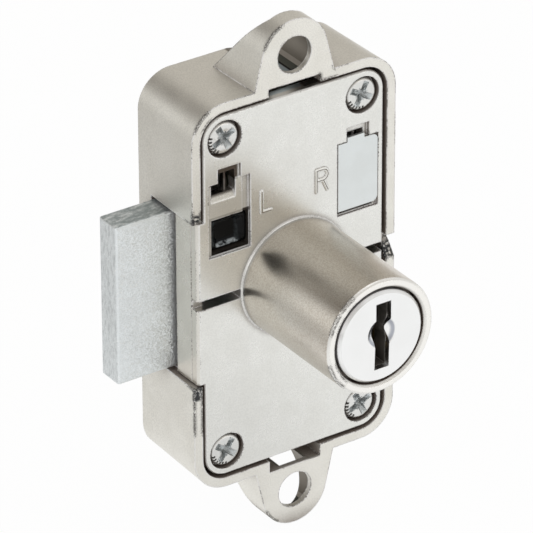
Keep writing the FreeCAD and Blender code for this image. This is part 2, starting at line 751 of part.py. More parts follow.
def make_plug():
    body = rod(PLUG_R, plug_head_back - 0.2, sleeve_back)
    head = rod(PLUG_HEAD_R, cap_back, plug_head_back)
    neck = rod(NECK_R, sleeve_back - 0.2, neck_end)
    spigot = rod(SPIGOT_R, neck_end - 0.2, spigot_end)
    flats = box(-SPIGOT_R, SPIGOT_R, neck_end - 0.2, spigot_end,
                -SPIGOT_FLAT, SPIGOT_FLAT)
    spigot = spigot.common(flats)
    for part in (head, neck, spigot):
        body = body.fuse(part)
    ring_y = ring_front() - RING_GROOVE_FIT
    groove = rod(PLUG_R, ring_y, ring_y + RING_T + 2 * RING_GROOVE_FIT)
    groove = groove.cut(rod(RING_GROOVE_R, ring_y - 0.5, ring_y + 2.0))
    body = body.cut(groove)
    body = body.cut(keyway(cap_back - 1.0, KEYWAY_END, False))
    half_t = WAFER_T / 2.0 + WAFER_FIT
    half_x = WAFER_HALF_W + WAFER_FIT
    for i in range(WAFER_COUNT):
        y = wafer_y(i)
        slot = box(-half_x, half_x, y - half_t, y + half_t,
                   -PLUG_R - 1.0, PLUG_R + 1.0)
        well = box(half_x - 0.1, WAFER_LUG_OUT + 2 * WAFER_FIT, y - half_t,
                   y + half_t, SPRING_WELL_LOW,
                   WAFER_LUG_LOW + WAFER_LUG_H + WAFER_TRAVEL + 0.1)
        body = body.cut(slot)
        body = body.cut(well)
    tap = rod(CAM_SCREW_R + SCREW_FIT, -0.9, spigot_end + 1.0)
    return body.cut(tap)


def make_cap():
    cap = rod(CAP_R, cap_front, cap_back)
    edge = [e for e in cap.Edges if e.BoundBox.YMax < cap_front + 1e-3]
    cap = cap.makeChamfer(CAP_BEVEL, edge)
    cap = cap.cut(keyway(cap_front - 1.0, cap_back + 1.0, True))
    # The dimple is part of a ball.
    ball_r = (DIMPLE_R ** 2 + DIMPLE_DEEP ** 2) / (2.0 * DIMPLE_DEEP)
    middle = FreeCAD.Vector(DIMPLE_X, cap_front + DIMPLE_DEEP - ball_r,
                            DIMPLE_Z)
    return cap.cut(Part.makeSphere(ball_r, middle))


def make_wafer(index):
    y = wafer_y(index)
    lift = wafer_rest()
    y0 = y - WAFER_T / 2.0
    y1 = y + WAFER_T / 2.0
    plate = box(-WAFER_HALF_W, WAFER_HALF_W, y0, y1,
                lift - WAFER_HALF_H, lift + WAFER_HALF_H)
    lug = box(WAFER_HALF_W - 0.2, WAFER_LUG_OUT, y0, y1,
              lift + WAFER_LUG_LOW, lift + WAFER_LUG_LOW + WAFER_LUG_H)
    plate = plate.fuse(lug)
    step = 0.25 * (index % 3)
    hole = box(-WAFER_HOLE_HALF, WAFER_HOLE_HALF, y0 - 1.0, y1 + 1.0,
               lift - WAFER_HOLE_H - step, lift + WAFER_HOLE_H - step)
    return plate.cut(hole)


def flat_coil(rings):
    # A wire through the rings of corners, with flat facets and closed ends.
    faces = [Part.Face(Part.makePolygon(rings[0] + rings[0][:1])),
             Part.Face(Part.makePolygon(rings[-1] + rings[-1][:1]))]
    for near, far in zip(rings, rings[1:]):
        for i in range(len(near)):
            j = (i + 1) % len(near)
            for corners in ((near[i], near[j], far[j]),
                            (near[i], far[j], far[i])):
                outline = list(corners) + [corners[0]]
                faces.append(Part.Face(Part.makePolygon(outline)))
    shell = Part.makeShell(faces)
    shell.sewShape()
    coil = Part.makeSolid(shell)
    if coil.Volume < 0.0:
        coil.reverse()
    return coil


def make_springs():
    # Small coils under the wafer lugs, each a square wire on a helix.
    coils = []
    low = SPRING_WELL_LOW + SPRING_WIRE + SPRING_END_GAP
    top = wafer_rest() + WAFER_LUG_LOW - SPRING_WIRE - SPRING_END_GAP
    pitch = (top - low) / SPRING_TURNS
    w = SPRING_WIRE
    rings = []
    for k in range(SPRING_TURNS * SPRING_SIDES + 1):
        angle = 2.0 * math.pi * k / SPRING_SIDES
        height = pitch * k / SPRING_SIDES
        corners = []
        for out, rise in ((-w, -w), (w, -w), (w, w), (-w, w)):
            reach = SPRING_R + out
            corners.append(FreeCAD.Vector(reach * math.cos(angle),
                                          reach * math.sin(angle),
                                          height + rise))
        rings.append(corners)
    first = flat_coil(rings)
    for i in range(WAFER_COUNT):
        coil = first.copy()
        coil.translate(FreeCAD.Vector(SPRING_X, wafer_y(i), low))
        coils.append(coil)
    return Part.makeCompound(coils)


def washer_front():
    return sleeve_back + WASHER_FRONT_GAP


def ring_front():
    return washer_front() + WASHER_T + WASHER_FRONT_GAP


def make_washer():
    y0 = washer_front()
    ring = rod(WASHER_R, y0, y0 + WASHER_T)
    return ring.cut(rod(NECK_R + WASHER_FIT, y0 - 1.0, y0 + 2.0))


def make_ring():
    y0 = ring_front()
    ring = rod(RING_R, y0, y0 + RING_T)
    ring = ring.cut(rod(RING_GROOVE_R + RING_GROOVE_FIT, y0 - 1.0, y0 + 2.0))
    mouth = box(-RING_MOUTH, RING_MOUTH, y0 - 1.0, y0 + 2.0, -RING_R - 1.0,
                0.0)
    bite = rod(NECK_R - 0.1, y0 - 1.0, y0 + 2.0)
    return ring.cut(mouth).cut(bite.common(mouth))


def make_disc():
    disc = rod(DISC_R, disc_front, disc_back)
    hole = rod(SPIGOT_R + SPIGOT_FIT, disc_front - 1.0, disc_back + 1.0)
    flats = box(-DISC_R, DISC_R, disc_front - 1.0, disc_back + 1.0,
                -SPIGOT_FLAT - SPIGOT_FIT, SPIGOT_FLAT + SPIGOT_FIT)
    disc = disc.cut(hole.common(flats))
    # The rim is cut away over the turn, so that the stop pin limits it.
    margin = math.asin((STOP_PIN_R + STOP_GAP) / STOP_PIN_AT)
    sweep = math.radians(TURN_DEG) + 2.0 * margin
    start = math.radians(270.0) - margin
    ring = [(0.0, 0.0)]
    for k in range(13):
        a = start + sweep * k / 12.0
        ring.append((2 * DISC_R * math.cos(a), 2 * DISC_R * math.sin(a)))
    wedge = prism_y(ring, disc_front - 1.0, disc_back + 1.0)
    wedge = wedge.cut(rod(DISC_STOP_R, disc_front - 2.0, disc_back + 2.0))
    disc = disc.cut(wedge)
    pin = rod(DRIVE_PIN_ROOT_R + 0.01, disc_front - 1.0, disc_back + 1.0,
              pin_x, pin_z)
    return disc.cut(pin)


def make_drive_pin():
    root = rod(DRIVE_PIN_ROOT_R, disc_front, disc_back + 0.1, pin_x, pin_z)
    head = rod(DRIVE_PIN_R, disc_back, drive_end, pin_x, pin_z)
    return root.fuse(head)


def make_stop_pin():
    return rod(STOP_PIN_R - 0.02, stop_root + 0.05, stop_end,
               0.0, -STOP_PIN_AT)


def make_cam_washer():
    y0 = disc_back
    ring = rod(CAM_WASHER_R, y0, y0 + CAM_WASHER_T)
    return ring.cut(rod(CAM_SCREW_R + 0.1, y0 - 1.0, y0 + 2.0))


def make_cam_screw():
    seat = disc_back + CAM_WASHER_T
    head = rod(CAM_SCREW_HEAD_R, seat, seat + CAM_SCREW_HEAD_H)
    crown = [e for e in head.Edges
             if e.BoundBox.YMin > seat + CAM_SCREW_HEAD_H - 1e-3]
    head = head.makeChamfer(CAM_SCREW_HEAD_H / 3.0, crown)
    shank = rod(CAM_SCREW_R, seat - CAM_SCREW_LONG, seat + 0.1)
    screw = head.fuse(shank)
    top = seat + CAM_SCREW_HEAD_H
    for turn in (45.0, 135.0):
        arm = box(-1.4, 1.4, top - 0.6, top + 0.2, -0.3, 0.3)
        arm.rotate(FreeCAD.Vector(0, 0, 0), FreeCAD.Vector(0, 1, 0), turn)
        screw = screw.cut(arm)
    return screw


def make_bolt():
    bolt = box(bolt_end_x, BOLT_TAIL, BOLT_FRONT, bolt_back, -BOLT_HALF_H,
               BOLT_HALF_H)
    # A small round runs about the end face and along the front edges.
    worn = []
    for edge in bolt.Edges:
        bb = edge.BoundBox
        at_end = bb.XMax < bolt_end_x + 0.01
        along_front = bb.XLength > 1.0 and bb.YMax < BOLT_FRONT + 0.01
        if at_end or along_front:
            worn.append(edge)
    bolt = bolt.makeFillet(BOLT_EDGE, worn)
    low = pin_z - DRIVE_PIN_R - BOLT_SLOT_PLAY
    high = crank_r + DRIVE_PIN_R + BOLT_SLOT_PLAY
    slot = box(pin_x - slot_half, pin_x + slot_half, BOLT_FRONT - 1.0,
               bolt_back + 1.0, low, high)
    return bolt.cut(slot)


os.makedirs("parts", exist_ok=True)
save("housing", make_housing())
save("cover_plate", make_cover())
save("cover_screws", make_cover_screws())
save("handing_insert", make_insert())
save("glide_block", make_glide())
save("core_sleeve", make_sleeve())
save("sleeve_pin", make_sleeve_pin())
save("plug", make_plug())
save("face_cap", make_cap())
for number in range(WAFER_COUNT):
    save("wafer_" + str(number + 1), make_wafer(number))
save("wafer_springs", make_springs())
save("thrust_washer", make_washer())
save("retaining_ring", make_ring())
save("driver_disc", make_disc())
save("drive_pin", make_drive_pin())
save("stop_pin", make_stop_pin())
save("cam_washer", make_cam_washer())
save("cam_screw", make_cam_screw())
save("bolt", make_bolt())
print("crank", round(crank_r, 3), "pin", round(pin_x, 3), round(pin_z, 3),
      "slot half", round(slot_half, 3))
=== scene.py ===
# %% [markdown]
# A drawer lock is a small box of cast zinc with a round barrel on its front and a flat bolt at its side.
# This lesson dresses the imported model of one. The solids already have the right shapes and places, so the
# work here is the finishes, the two letters, the screws, the small springs inside and a soft studio.
# Every length is in metres and every piece sits where the real one does, on the model's own axes.

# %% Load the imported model
import math

import bpy
from mathutils import Matrix, Vector


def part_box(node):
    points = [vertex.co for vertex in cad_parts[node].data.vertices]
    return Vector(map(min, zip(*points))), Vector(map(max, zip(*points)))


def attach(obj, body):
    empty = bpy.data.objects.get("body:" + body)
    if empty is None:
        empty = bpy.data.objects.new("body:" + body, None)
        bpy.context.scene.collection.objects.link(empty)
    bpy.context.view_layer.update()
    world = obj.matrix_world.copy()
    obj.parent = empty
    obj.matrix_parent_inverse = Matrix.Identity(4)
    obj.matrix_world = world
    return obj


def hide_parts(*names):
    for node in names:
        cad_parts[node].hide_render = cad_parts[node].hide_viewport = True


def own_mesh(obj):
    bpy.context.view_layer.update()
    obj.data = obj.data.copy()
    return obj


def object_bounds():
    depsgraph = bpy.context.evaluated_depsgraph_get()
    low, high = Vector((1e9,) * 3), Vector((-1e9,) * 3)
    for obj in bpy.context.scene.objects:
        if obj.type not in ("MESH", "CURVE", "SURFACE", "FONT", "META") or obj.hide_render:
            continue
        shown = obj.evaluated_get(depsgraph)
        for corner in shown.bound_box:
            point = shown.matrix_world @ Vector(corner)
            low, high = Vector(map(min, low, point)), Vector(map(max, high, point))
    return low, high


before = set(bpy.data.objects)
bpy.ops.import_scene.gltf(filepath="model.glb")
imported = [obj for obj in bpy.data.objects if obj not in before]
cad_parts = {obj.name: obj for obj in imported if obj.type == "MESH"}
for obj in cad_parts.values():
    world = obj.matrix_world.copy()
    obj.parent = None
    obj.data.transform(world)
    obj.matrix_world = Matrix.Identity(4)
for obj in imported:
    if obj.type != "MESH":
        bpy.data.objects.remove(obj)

CAD_LOW, CAD_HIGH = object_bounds()
MM = 0.001
print("nodes:", len(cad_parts), "size mm:", [round(v / MM, 2) for v in CAD_HIGH - CAD_LOW])

# %% [markdown]
# The photograph was taken from the left and from above, with a long lens from under a metre away. A long
# lens keeps upright edges upright. The camera is turned from three angles, so that nothing depends
# on a target object, and its focal length is written for a sensor 36 mm wide.

# %% Camera
CAMERA_TURN = math.radians(-34.006)
CAMERA_TILT = math.radians(29.446)
CAMERA_ROLL = math.radians(-0.19)
CAMERA_AWAY = 780.88 * MM
CAMERA_ASIDE = Vector((-4.049 * MM, 1.196 * MM))

toward = Vector((math.sin(CAMERA_TURN) * math.cos(CAMERA_TILT),
                 -math.cos(CAMERA_TURN) * math.cos(CAMERA_TILT), math.sin(CAMERA_TILT)))
level_right = (-toward).cross(Vector((0, 0, 1))).normalized()
level_up = level_right.cross(-toward)
right = level_right * math.cos(CAMERA_ROLL) + level_up * math.sin(CAMERA_ROLL)
up = level_up * math.cos(CAMERA_ROLL) - level_right * math.sin(CAMERA_ROLL)

lens = bpy.data.cameras.new("photo_camera")
lens.lens = 368.76
lens.sensor_width = 36.0
lens.clip_start = 0.02
lens.clip_end = 20.0
camera = bpy.data.objects.new("photo_camera", lens)
bpy.context.scene.collection.objects.link(camera)
camera.matrix_world = Matrix((right, up, toward)).transposed().to_4x4()
camera.location = right * CAMERA_ASIDE.x + up * CAMERA_ASIDE.y + toward * CAMERA_AWAY
bpy.context.scene.camera = camera
bpy.context.scene.view_settings.view_transform = "Standard"
print("camera at", [round(v, 4) for v in camera.location])

# %% [markdown]
# A material is a tree of nodes. These helpers add one node each and link it, so that a whole finish reads
# like a sum. What changes over the surface is read from Object coordinates, which here are the lock's own
# coordinates in metres.

# %% Helpers for nodes
def put(tree, kind, links=None, **settings):
    """Adds a node, sets its properties, and links or fills its inputs."""
    node = tree.nodes.new(kind)
    for setting, value in settings.items():
        setattr(node, setting, value)
    for label, value in (links or {}).items():
        socket = node.inputs[label]
        if isinstance(value, bpy.types.NodeSocket):
            tree.links.new(value, socket)
        else:
            socket.default_value = value
    return node


def math_node(tree, operation, first, second=0.0, clamp=False):
    """One sum on two values or sockets."""
    return put(tree, "ShaderNodeMath", {0: first, 1: second}, operation=operation, use_clamp=clamp).outputs[0]


def times(tree, first, second):
    """One value or socket times another."""
    return math_node(tree, "MULTIPLY", first, second)


def vector_math(tree, operation, first, second=(0.0, 0.0, 0.0)):
    """One sum on two vectors. A distance or a dot product comes out as a value, the rest as a vector."""
    node = put(tree, "ShaderNodeVectorMath", {0: first, 1: second}, operation=operation)
    return node.outputs["Value" if operation in ("DISTANCE", "DOT_PRODUCT") else "Vector"]


def spread(tree, value, low, high, to_low=0.0, to_high=1.0):
    """Stretches a value from one range to another, smoothly, and keeps it inside."""
    return put(tree, "ShaderNodeMapRange", {"Value": value, "From Min": low, "From Max": high,
                                            "To Min": to_low, "To Max": to_high},
               interpolation_type="SMOOTHSTEP").outputs["Result"]


def noise(tree, where, scale, detail=3.0, rough=0.55):
    """Fractal noise; scale counts features per metre."""
    return put(tree, "ShaderNodeTexNoise", {"Vector": where, "Scale": scale, "Detail": detail,
                                            "Roughness": rough}).outputs["Fac"]


def blend(tree, share, first, second, kind="MIX"):
    """Mixes two colours, each of them a socket or three numbers."""
    first, second = [tone if isinstance(tone, bpy.types.NodeSocket) else (*tone, 1) for tone in (first, second)]
    return put(tree, "ShaderNodeMix", {0: share, 6: first, 7: second}, data_type="RGBA",
               blend_type=kind).outputs[2]


def on_lock(tree):
    """The point's own coordinates on the lock."""
    return put(tree, "ShaderNodeTexCoord").outputs["Object"]


def facing(tree, axis):
    """How far the face looks along X, Y or Z (0, 1 or 2), from -1 to 1."""
    normal = put(tree, "ShaderNodeNewGeometry").outputs["True Normal"]
    return put(tree, "ShaderNodeSeparateXYZ", {0: normal}).outputs[axis]


print("node helpers ready")

# %% [markdown]
# Most of this lock wears the same few marks: the skin of a casting that is dimpled like orange peel, edges
# where the plating is flecked and which are painted lighter as a highlight, and shade and dirt painted into
# the corners. Each is a node group, made once, with its own inputs, so that every finish can take as much of
# it as the real metal shows.

# %% Helpers for node groups
PER_MM = 1000.0


def new_group(name, inputs, outputs):
    """Makes a shader node group with named sockets, and returns it with its two end nodes."""
    made = bpy.data.node_groups.new(name, "ShaderNodeTree")
    for label, start in inputs.items():
        socket = made.interface.new_socket(name=label, in_out="INPUT", socket_type="NodeSocketFloat")
        socket.default_value = start
    for label, kind in outputs.items():
        made.interface.new_socket(name=label, in_out="OUTPUT", socket_type=f"NodeSocket{kind}")
    return made, made.nodes.new("NodeGroupInput"), made.nodes.new("NodeGroupOutput")


def close_group(made, leave, results):
    """Links each result to the group's output of that name."""
    for label, value in results.items():
        made.links.new(value, leave.inputs[label])
    print(made.name, len(made.nodes), "nodes")


def metres(tree, length_mm):
    """Turns a length in millimetres into metres."""
    return times(tree, length_mm, MM)


def beside_edge(tree, width):
    """The normal of an edge rounded this wide, and how well it agrees with the real one: 1 away from edges."""
    rounded = put(tree, "ShaderNodeBevel", {"Radius": width}, samples=6).outputs["Normal"]
    flat = put(tree, "ShaderNodeNewGeometry").outputs["Normal"]
    return rounded, vector_math(tree, "DOT_PRODUCT", rounded, flat)


print("group helpers ready")

# %% [markdown]
# Cast zinc cools with a skin of shallow dimples, on slow waves a few millimetres long, and blasting before
# the plating leaves a fine grain on top. All three are noises of their real sizes, added into one height. A
# fourth, large and soft, gives the cloudy patches where the plating came out a little duller.

# %% Node group: the skin of a casting
CLOUDS_PER_METRE = 190.0

cast_skin, enter, leave = new_group(
    "cast_skin", {"Grain size mm": 0.16, "Dimple size mm": 0.7, "Wave size mm": 4.0, "Dimple share": 1.0,
                  "Wave share": 0.5},
    {"Height": "Float", "Cloud": "Float", "Grain": "Float"})
place = on_lock(cast_skin)
grain, dimples, waves = [noise(cast_skin, place, math_node(cast_skin, "DIVIDE", PER_MM, size), detail)
                         for size, detail in zip(enter.outputs, (2.0, 2.0, 1.0))]
height = math_node(cast_skin, "ADD", grain, times(cast_skin, dimples, enter.outputs["Dimple share"]))
height = math_node(cast_skin, "ADD", height, times(cast_skin, waves, enter.outputs["Wave share"]))
cloud = noise(cast_skin, place, CLOUDS_PER_METRE, 5.0, 0.62)
close_group(cast_skin, leave, {"Height": height, "Cloud": spread(cast_skin, cloud, 0.34, 0.66),
                               "Grain": spread(cast_skin, grain, 0.62, 0.36)})

# %% [markdown]
# Plating wears first on sharp edges. The Bevel node gives the normal that a rounded edge would have, and
# where it differs from the real one there is an edge. Noise breaks that line into flecks, because a tumbled
# casting is knocked in spots and not evenly rubbed. A slow noise gathers the flecks into some stretches.
# The same edge mask also carries a painted highlight: every finish paints its edges a little lighter.

# %% Node group: flecked edges
FLECK_LIMIT = 0.72
COVER_LOWERS = 0.4
FLECK_SOFT = 0.06

edge_wear_and_highlight, enter, leave = new_group(
    "edge_wear_and_highlight", {"Width mm": 0.25, "Fleck size mm": 0.5, "Cover": 0.5},
    {"Edge": "Float", "Fleck": "Float", "Rounded": "Vector"})
rounded, same = beside_edge(edge_wear_and_highlight, metres(edge_wear_and_highlight, enter.outputs["Width mm"]))
edge = spread(edge_wear_and_highlight, same, 0.992, 0.90)
place = on_lock(edge_wear_and_highlight)
flecks_per_metre = math_node(edge_wear_and_highlight, "DIVIDE", PER_MM, enter.outputs["Fleck size mm"])
spots = noise(edge_wear_and_highlight, place, flecks_per_metre, 4.0, 0.75)
gathered = spread(edge_wear_and_highlight, noise(edge_wear_and_highlight, place, 150.0, 2.0), 0.38, 0.62, 0.06, -0.10)
limit = math_node(edge_wear_and_highlight, "SUBTRACT", FLECK_LIMIT, times(edge_wear_and_highlight, enter.outputs["Cover"], COVER_LOWERS))
limit = math_node(edge_wear_and_highlight, "ADD", limit, gathered)
fleck = spread(edge_wear_and_highlight, math_node(edge_wear_and_highlight, "SUBTRACT", spots, limit), 0.0, FLECK_SOFT)
close_group(edge_wear_and_highlight, leave, {"Edge": edge, "Fleck": times(edge_wear_and_highlight, edge, fleck), "Rounded": rounded})

# %% [markdown]
# Inside corners and deep cuts are painted darker: painted shade where little light reaches, and some oil and
# polishing dust. Ambient occlusion says how closed in a point is, and a little noise keeps the painted shade
# and dirt from looking like a drawn line.

# %% Node group: painted shade and dirt in the corners
OPEN_ENOUGH = 0.12

corner_shade_and_dirt, enter, leave = new_group("corner_shade_and_dirt", {"Reach mm": 1.2, "Amount": 0.6}, {"Shade and dirt": "Float"})
reach = metres(corner_shade_and_dirt, enter.outputs["Reach mm"])
closed = put(corner_shade_and_dirt, "ShaderNodeAmbientOcclusion", {"Distance": reach}, samples=6).outputs["AO"]
ragged = put(corner_shade_and_dirt, "ShaderNodeMath", {0: noise(corner_shade_and_dirt, on_lock(corner_shade_and_dirt), 900.0, 4.0, 0.7),
                                              1: 0.5, 2: -0.25}, operation="MULTIPLY_ADD").outputs[0]
shut = math_node(corner_shade_and_dirt, "SUBTRACT", math_node(corner_shade_and_dirt, "SUBTRACT", 1.0, closed), OPEN_ENOUGH)
shade_and_dirt = spread(corner_shade_and_dirt, math_node(corner_shade_and_dirt, "ADD", shut, times(corner_shade_and_dirt, ragged, shut)), 0.0, 0.55)
close_group(corner_shade_and_dirt, leave, {"Shade and dirt": times(corner_shade_and_dirt, shade_and_dirt, enter.outputs["Amount"])})

# %% [markdown]
# A few marks belong to one place, such as the dark inside of a window. Three groups say where a point lies:
# inside a box with soft sides, how far off a line along Y, and how near a spot.

# %% Node groups: places on the lock
inside_box, enter, leave = new_group(
    "inside_box", {"Low X mm": -1.0, "Low Y mm": -1.0, "Low Z mm": -1.0, "High X mm": 1.0, "High Y mm": 1.0,
                   "High Z mm": 1.0, "Soft mm": 0.12}, {"Inside": "Float"})
place = put(inside_box, "ShaderNodeSeparateXYZ", {0: on_lock(inside_box)}).outputs
soft = metres(inside_box, enter.outputs["Soft mm"])
share = 1.0
for axis in range(3):
    low, high = [metres(inside_box, enter.outputs[number]) for number in (axis, axis + 3)]
    over = spread(inside_box, place[axis], math_node(inside_box, "SUBTRACT", low, soft),
                  math_node(inside_box, "ADD", low, soft))
    beneath = spread(inside_box, place[axis], math_node(inside_box, "ADD", high, soft),
                     math_node(inside_box, "SUBTRACT", high, soft))
    share = times(inside_box, share, times(inside_box, over, beneath))
close_group(inside_box, leave, {"Inside": share})

off_line, enter, leave = new_group("off_line", {"X mm": 0.0, "Z mm": 0.0}, {"Distance": "Float"})
level = vector_math(off_line, "MULTIPLY", on_lock(off_line), (1, 0, 1))
centre = put(off_line, "ShaderNodeCombineXYZ", {"X": metres(off_line, enter.outputs["X mm"]),
                                                "Z": metres(off_line, enter.outputs["Z mm"])}).outputs[0]
close_group(off_line, leave, {"Distance": vector_math(off_line, "DISTANCE", level, centre)})

FULL_WITHIN = 0.35
near_spot, enter, leave = new_group("near_spot", {"X mm": 0.0, "Y mm": 0.0, "Z mm": 0.0, "Reach mm": 3.0},
                                    {"Near": "Float"})
centre = put(near_spot, "ShaderNodeCombineXYZ",
             {axis: metres(near_spot, enter.outputs[axis]) for axis in range(3)}).outputs[0]
gap = vector_math(near_spot, "DISTANCE", on_lock(near_spot), centre)
reach = metres(near_spot, enter.outputs["Reach mm"])
close_group(near_spot, leave, {"Near": spread(near_spot, gap, reach, times(near_spot, reach, FULL_WITHIN))})

# %% [markdown]
# Hard knocks tear the plating at an edge and leave dark broken metal, with a few bright grains painted on
# as glints. Like the worn edges it is found with the Bevel node, and it shows only near the spots that were
# knocked.

# %% Node group: torn edges
torn_edge, enter, leave = new_group("torn_edge", {"Near": 0.0, "Width mm": 0.9},
                                    {"Torn": "Float", "Glint": "Float", "Height": "Float"})
place = on_lock(torn_edge)
rounded, same = beside_edge(torn_edge, metres(torn_edge, enter.outputs["Width mm"]))
beside = times(torn_edge, spread(torn_edge, same, 0.998, 0.95), enter.outputs["Near"])
torn = math_node(torn_edge, "ADD", noise(torn_edge, place, 4200.0, 4.0, 0.7), times(torn_edge, beside, 0.30))
torn = times(torn_edge, spread(torn_edge, torn, 0.62, 0.68), spread(torn_edge, beside, 0.05, 0.3))
painted_glint = spread(torn_edge, noise(torn_edge, place, 5200.0, 2.0, 0.6), 0.55, 0.61)
close_group(torn_edge, leave, {"Torn": torn, "Glint": painted_glint,
                               "Height": times(torn_edge, torn, noise(torn_edge, place, 3200.0, 3.0, 0.7))})

# %% [markdown]
# A finish is one Principled shader with its colour, roughness and bump driven by the groups above. Its edges
# are painted lighter, as a highlight. Where painted shade and dirt lie the surface is no longer metal, so the
# metallic value falls there too. It also falls on the edges, which then stay bright instead of mirroring
# something dark.

# %% Helper for a finish
GRAIN_TONE = 0.62
DULL_TINT = (0.95, 1.0, 1.12)
CLOUD_ROUGHER = 1.1
SPOILED_ROUGHER = 0.35
EDGE_METAL = 0.3


def scaled(colour, *shares):
    """A colour times one share, or times one for each of its three numbers."""
    return [min(1.0, part * share) for part, share in zip(colour, shares * 3)]


def finish(name, colour, roughness, metallic=1.0, skin=(0.16, 0.7, 4.0, 1.0, 0.5), bump=4.0,
           edge=(0.25, 0.5, 0.5), fleck_colour=(0.06, 0.05, 0.042), painted_glint=0.15, shade_and_dirt=(1.2, 0.6),
           shade_and_dirt_colour=(0.10, 0.058, 0.04), cloudy=0.06, grainy=0.0):
    """Makes a material. Skin, edge and shade_and_dirt hold the groups' inputs; bump is a depth in micrometres.
    """
    made = bpy.data.materials.new(name)
    made.use_nodes = True
    tree = made.node_tree
    shader = tree.nodes["Principled BSDF"]
    skins, edges, shade_and_dirt_sockets = [put(tree, "ShaderNodeGroup", dict(enumerate(values)), node_tree=group).outputs
                          for group, values in ((cast_skin, skin), (edge_wear_and_highlight, edge), (corner_shade_and_dirt, shade_and_dirt))]

    tone = blend(tree, skins["Cloud"], colour, scaled(colour, *[1 - cloudy * part for part in DULL_TINT]))
    if grainy:
        tone = blend(tree, times(tree, skins["Grain"], grainy), tone, scaled(colour, GRAIN_TONE))
    # painted highlight: the edges are painted lighter by painted_glint
    tone = blend(tree, edges["Edge"], tone, scaled(colour, 1 + painted_glint))
    tone = blend(tree, edges["Fleck"], tone, fleck_colour)
    shade_and_dirt_share = times(tree, shade_and_dirt_sockets["Shade and dirt"], math_node(tree, "SUBTRACT", 1.0, edges["Edge"]))
    tree.links.new(blend(tree, shade_and_dirt_share, tone, shade_and_dirt_colour), shader.inputs["Base Color"])

    rough = spread(tree, skins["Cloud"], 0.0, 1.0, roughness, min(1.0, roughness * CLOUD_ROUGHER))
    spoiled = times(tree, math_node(tree, "MAXIMUM", shade_and_dirt_share, edges["Fleck"]), SPOILED_ROUGHER)
    tree.links.new(math_node(tree, "ADD", rough, spoiled, True), shader.inputs["Roughness"])
    metal = spread(tree, edges["Edge"], 0.0, 1.0, metallic, metallic * EDGE_METAL)
    tree.links.new(times(tree, math_node(tree, "SUBTRACT", 1.0, shade_and_dirt_share), metal), shader.inputs["Metallic"])
    bumped = put(tree, "ShaderNodeBump", {"Height": skins["Height"], "Distance": bump * 1e-6, "Strength": 1.0,
                                          "Normal": edges["Rounded"]})
    tree.links.new(bumped.outputs["Normal"], shader.inputs["Normal"])
    return made


def wear(made, *node_names):
    """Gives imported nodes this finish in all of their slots."""
    for node_name in node_names:
        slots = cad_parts[node_name].data.materials
        if not slots:
            slots.append(made)
        for number in range(len(slots)):
            slots[number] = made


print("finish helper ready")

# %% [markdown]
# Local marks go on top of a finish. lay_colour lays a colour over what is there, a real stain or painted light
# and shade; scars are torn metal with painted glints along the edges near some spots, and a broken patch is a
# whole corner where the plating came away, with painted glints on it too.

# %% Helpers for local marks
BARE_METAL = (0.045, 0.04, 0.036)
GLINT_COLOUR = (0.80, 0.79, 0.76)
SCAR_DEEP = 0.06 * MM
SOFT = 0.12


def within(tree, low, high, soft=SOFT):
    """How far a point lies inside the box between two corners (x, y, z in mm), with a soft edge."""
    box = dict(enumerate((*low, *high, soft)))
    return put(tree, "ShaderNodeGroup", box, node_tree=inside_box).outputs["Inside"]


def out_from(tree, x, z):
    """The distance of a point from the line along Y through x, z (in mm)."""
    return put(tree, "ShaderNodeGroup", {"X mm": x, "Z mm": z}, node_tree=off_line).outputs["Distance"]


def lay_colour(made, share, colour, kind="MIX"):
    """Lays a colour over a finish, as much as share says."""
    base = made.node_tree.nodes["Principled BSDF"].inputs["Base Color"]
    made.node_tree.links.new(blend(made.node_tree, share, base.links[0].from_socket, colour, kind), base)


def scars(made, spots, width):
    """Tears the edges near some spots (x, y, z, reach in mm), this wide (mm)."""
    tree = made.node_tree
    near = 0.0
    for spot in spots:
        node = put(tree, "ShaderNodeGroup", dict(enumerate(spot)), node_tree=near_spot)
        near = math_node(tree, "MAXIMUM", near, node.outputs["Near"])
    torn = put(tree, "ShaderNodeGroup", {"Near": near, "Width mm": width}, node_tree=torn_edge).outputs
    lay_colour(made, torn["Torn"], blend(tree, torn["Glint"], BARE_METAL, GLINT_COLOUR))
    normal = tree.nodes["Principled BSDF"].inputs["Normal"]
    deeper = put(tree, "ShaderNodeBump", {"Height": torn["Height"], "Distance": SCAR_DEEP, "Strength": 1.0,
                                          "Normal": normal.links[0].from_socket})
    tree.links.new(deeper.outputs["Normal"], normal)


def broken_patch(made, low, high):
    """Breaks the plating away inside a box (mm): dark rough metal, with a few bright grains painted on as
    glints.
    """
    tree = made.node_tree
    box = within(tree, low, high, 0.25)
    dark = spread(tree, noise(tree, on_lock(tree), 1700.0, 3.0, 0.7), 0.36, 0.50)
    glints = spread(tree, noise(tree, on_lock(tree), 2400.0, 3.0, 0.6), 0.58, 0.66)
    lay_colour(made, times(tree, box, dark), (0.05, 0.052, 0.055))
    lay_colour(made, times(tree, box, glints), (0.92, 0.92, 0.90))


print("helpers for marks ready")

# %% [markdown]
# The case, the cover and its barrel are cast zinc with a satin nickel plate: a warm, light grey. The case is
# rougher, because it is only tumbled, while the front of the cover and the barrel were brushed smooth first.

# %% Finishes: nickel plate on the castings
case_nickel = finish("case_nickel", (0.86, 0.845, 0.79), 0.45, skin=(0.19, 0.8, 4.0, 1.0, 2.0), bump=8.5,
                     edge=(0.36, 0.24, 0.46), painted_glint=0.3, shade_and_dirt=(5.0, 0.85), cloudy=0.05, grainy=0.32)
cover_nickel = finish("cover_nickel", (0.82, 0.82, 0.785), 0.27, skin=(0.2, 0.7, 5.0, 0.3, 0.7), bump=7.5,
                      edge=(0.34, 0.26, 0.34), painted_glint=0.3, shade_and_dirt=(1.5, 0.88), cloudy=0.05, grainy=0.22)
